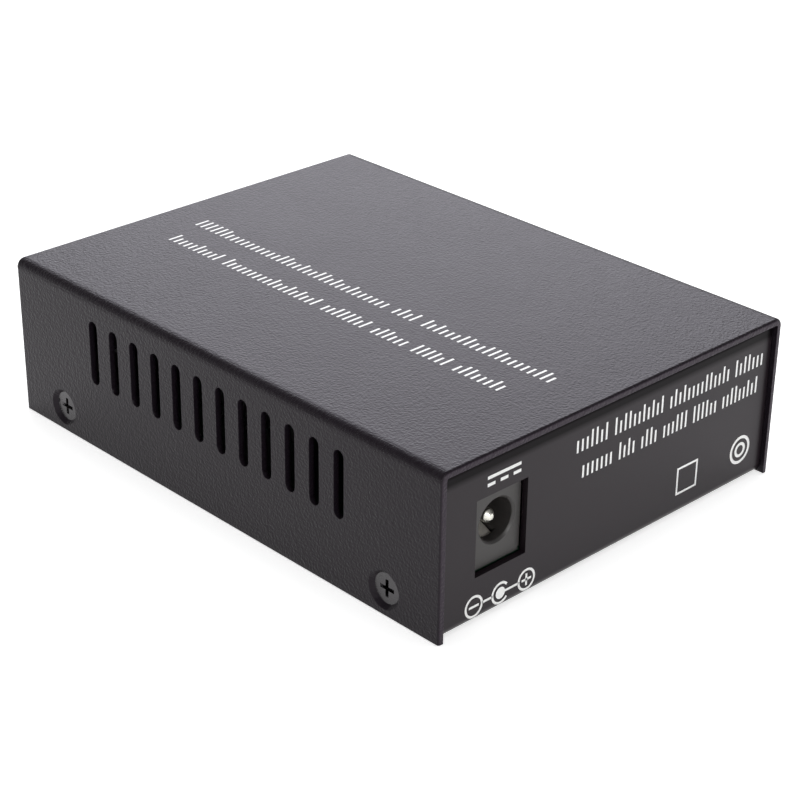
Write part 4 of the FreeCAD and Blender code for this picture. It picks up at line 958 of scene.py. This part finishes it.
def floor_material():
    """White paper that looks white to the camera and in reflections, and still takes a shadow."""
    material = bpy.data.materials.new("white_floor")
    material.use_nodes = True
    tree = material.node_tree
    tree.nodes.clear()
    paper = tree.nodes.new("ShaderNodeBsdfDiffuse")
    paper.inputs["Color"].default_value = (FLOOR_COLOUR, FLOOR_COLOUR, FLOOR_COLOUR, 1.0)
    light = tree.nodes.new("ShaderNodeLightPath").outputs
    seen = calculated(tree, "ADD", light["Is Camera Ray"], light["Is Glossy Ray"])
    seen = calculated(tree, "ADD", seen, light["Is Transmission Ray"])
    glow = tree.nodes.new("ShaderNodeEmission")
    apart = tree.nodes.new("ShaderNodeVectorMath")
    apart.operation = "LENGTH"
    put(tree, tree.nodes.new("ShaderNodeTexCoord").outputs["Object"], apart.inputs[0])
    lift = ranged(tree, apart.outputs["Value"], *FLOOR_FADE, FLOOR_LIFT, 1.0)
    put(tree, calculated(tree, "MULTIPLY", seen, lift), glow.inputs["Strength"])
    both = tree.nodes.new("ShaderNodeAddShader")
    put(tree, paper.outputs[0], both.inputs[0])
    put(tree, glow.outputs[0], both.inputs[1])
    put(tree, both.outputs[0], tree.nodes.new("ShaderNodeOutputMaterial").inputs["Surface"])
    return material


floor_mesh = bpy.data.meshes.new("floor")
floor_turns = (-1, -1), (1, -1), (1, 1), (-1, 1)
corners = [(x * FLOOR_HALF, y * FLOOR_HALF, -FLOOR_DROP) for x, y in floor_turns]
floor_mesh.from_pydata(corners, [], [(0, 1, 2, 3)])
floor_mesh.materials.append(floor_material())
floor = bpy.data.objects.new("floor", floor_mesh)
scene.collection.objects.link(floor)
print("floor", 2 * FLOOR_HALF, "m wide")

# %% [markdown]
# The studio is white behind the case and behind the camera, up to a height, and dim overhead and on the
# two other sides. So the folds of the cover turn dark against the lit top. The camera itself sees plain
# white.

# %% World
BACKDROP_TOP = 0.40
BESIDE_TOP = 0.03
BACKDROP_FADE = 0.12
BACKDROP_ENDS = (0.3, 0.9)
CEILING_ENDS = (0.2, 0.7)
CEILING_LOW = 0.02
CEILING_HIGH = 0.30


def studio_world():
    """White before and behind the case, dim beside and above it, and plain white to the camera."""
    world = bpy.data.worlds.new("studio")
    world.use_nodes = True
    tree = world.node_tree
    background = tree.nodes["Background"]
    direction = tree.nodes.new("ShaderNodeTexCoord")
    parts = tree.nodes.new("ShaderNodeSeparateXYZ")
    put(tree, direction.outputs["Generated"], parts.inputs[0])
    diagonal = calculated(tree, "ADD", parts.outputs["X"], parts.outputs["Y"])
    facing = calculated(tree, "ABSOLUTE", diagonal, 0.0)
    top = ranged(tree, facing, *BACKDROP_ENDS, BESIDE_TOP, BACKDROP_TOP)
    ceiling = ranged(tree, parts.outputs["Z"], *CEILING_ENDS, CEILING_LOW, CEILING_HIGH)
    above = calculated(tree, "SUBTRACT", parts.outputs["Z"], top)
    level = ranged(tree, above, 0.0, BACKDROP_FADE, 1.0, ceiling)
    light = tree.nodes.new("ShaderNodeLightPath").outputs
    seen = calculated(tree, "MAXIMUM", light["Is Camera Ray"], light["Is Transmission Ray"])
    put(tree, calculated(tree, "MAXIMUM", seen, level), background.inputs["Strength"])
    background.inputs["Color"].default_value = (1, 1, 1, 1)
    return world


scene.world = studio_world()
print("world", scene.world.name)

# %% [markdown]
# A large soft lamp overhead gives the floor its soft shadow. A second one far behind the case is mirrored
# in the top and brings out its grain, and a small one behind the camera puts a glint on the pin of the
# socket.

# %% Lamps
WHITE_LIGHT = (1.0, 1.0, 1.0)
COOL_LIGHT = (1.0, 0.99, 1.10)
LAMPS = {
    "overhead_softbox": ((-0.18, -0.12, 0.95), 0.8, 6.0, WHITE_LIGHT, False),
    "far_softbox": ((-0.80, -0.82, 0.60), 0.75, 4.8, COOL_LIGHT, True),
    "near_softbox": ((0.30, 0.85, 0.40), 0.14, 3.0, WHITE_LIGHT, True),
}
for name, (place, size, power, colour, mirrored) in LAMPS.items():
    lamp = bpy.data.lights.new(name, "AREA")
    lamp.shape = "SQUARE"
    lamp.size = size
    lamp.energy = power
    lamp.color = colour
    holder = bpy.data.objects.new(name, lamp)
    scene.collection.objects.link(holder)
    aim = (Vector(place) - case_middle).to_track_quat("Z", "Y").to_matrix().to_4x4()
    holder.matrix_world = Matrix.Translation(place) @ aim
    holder.visible_glossy = mirrored
    print(name, power, "W")
scene.view_settings.view_transform = "Standard"

# %% [markdown]
# ## Finish
# The dressed part's box agrees with the box of the solids but for the ink on the top, a hundredth of a
# millimetre thick, because dressing a part never changes its size.

# %% Update the scene
bpy.context.view_layer.update()
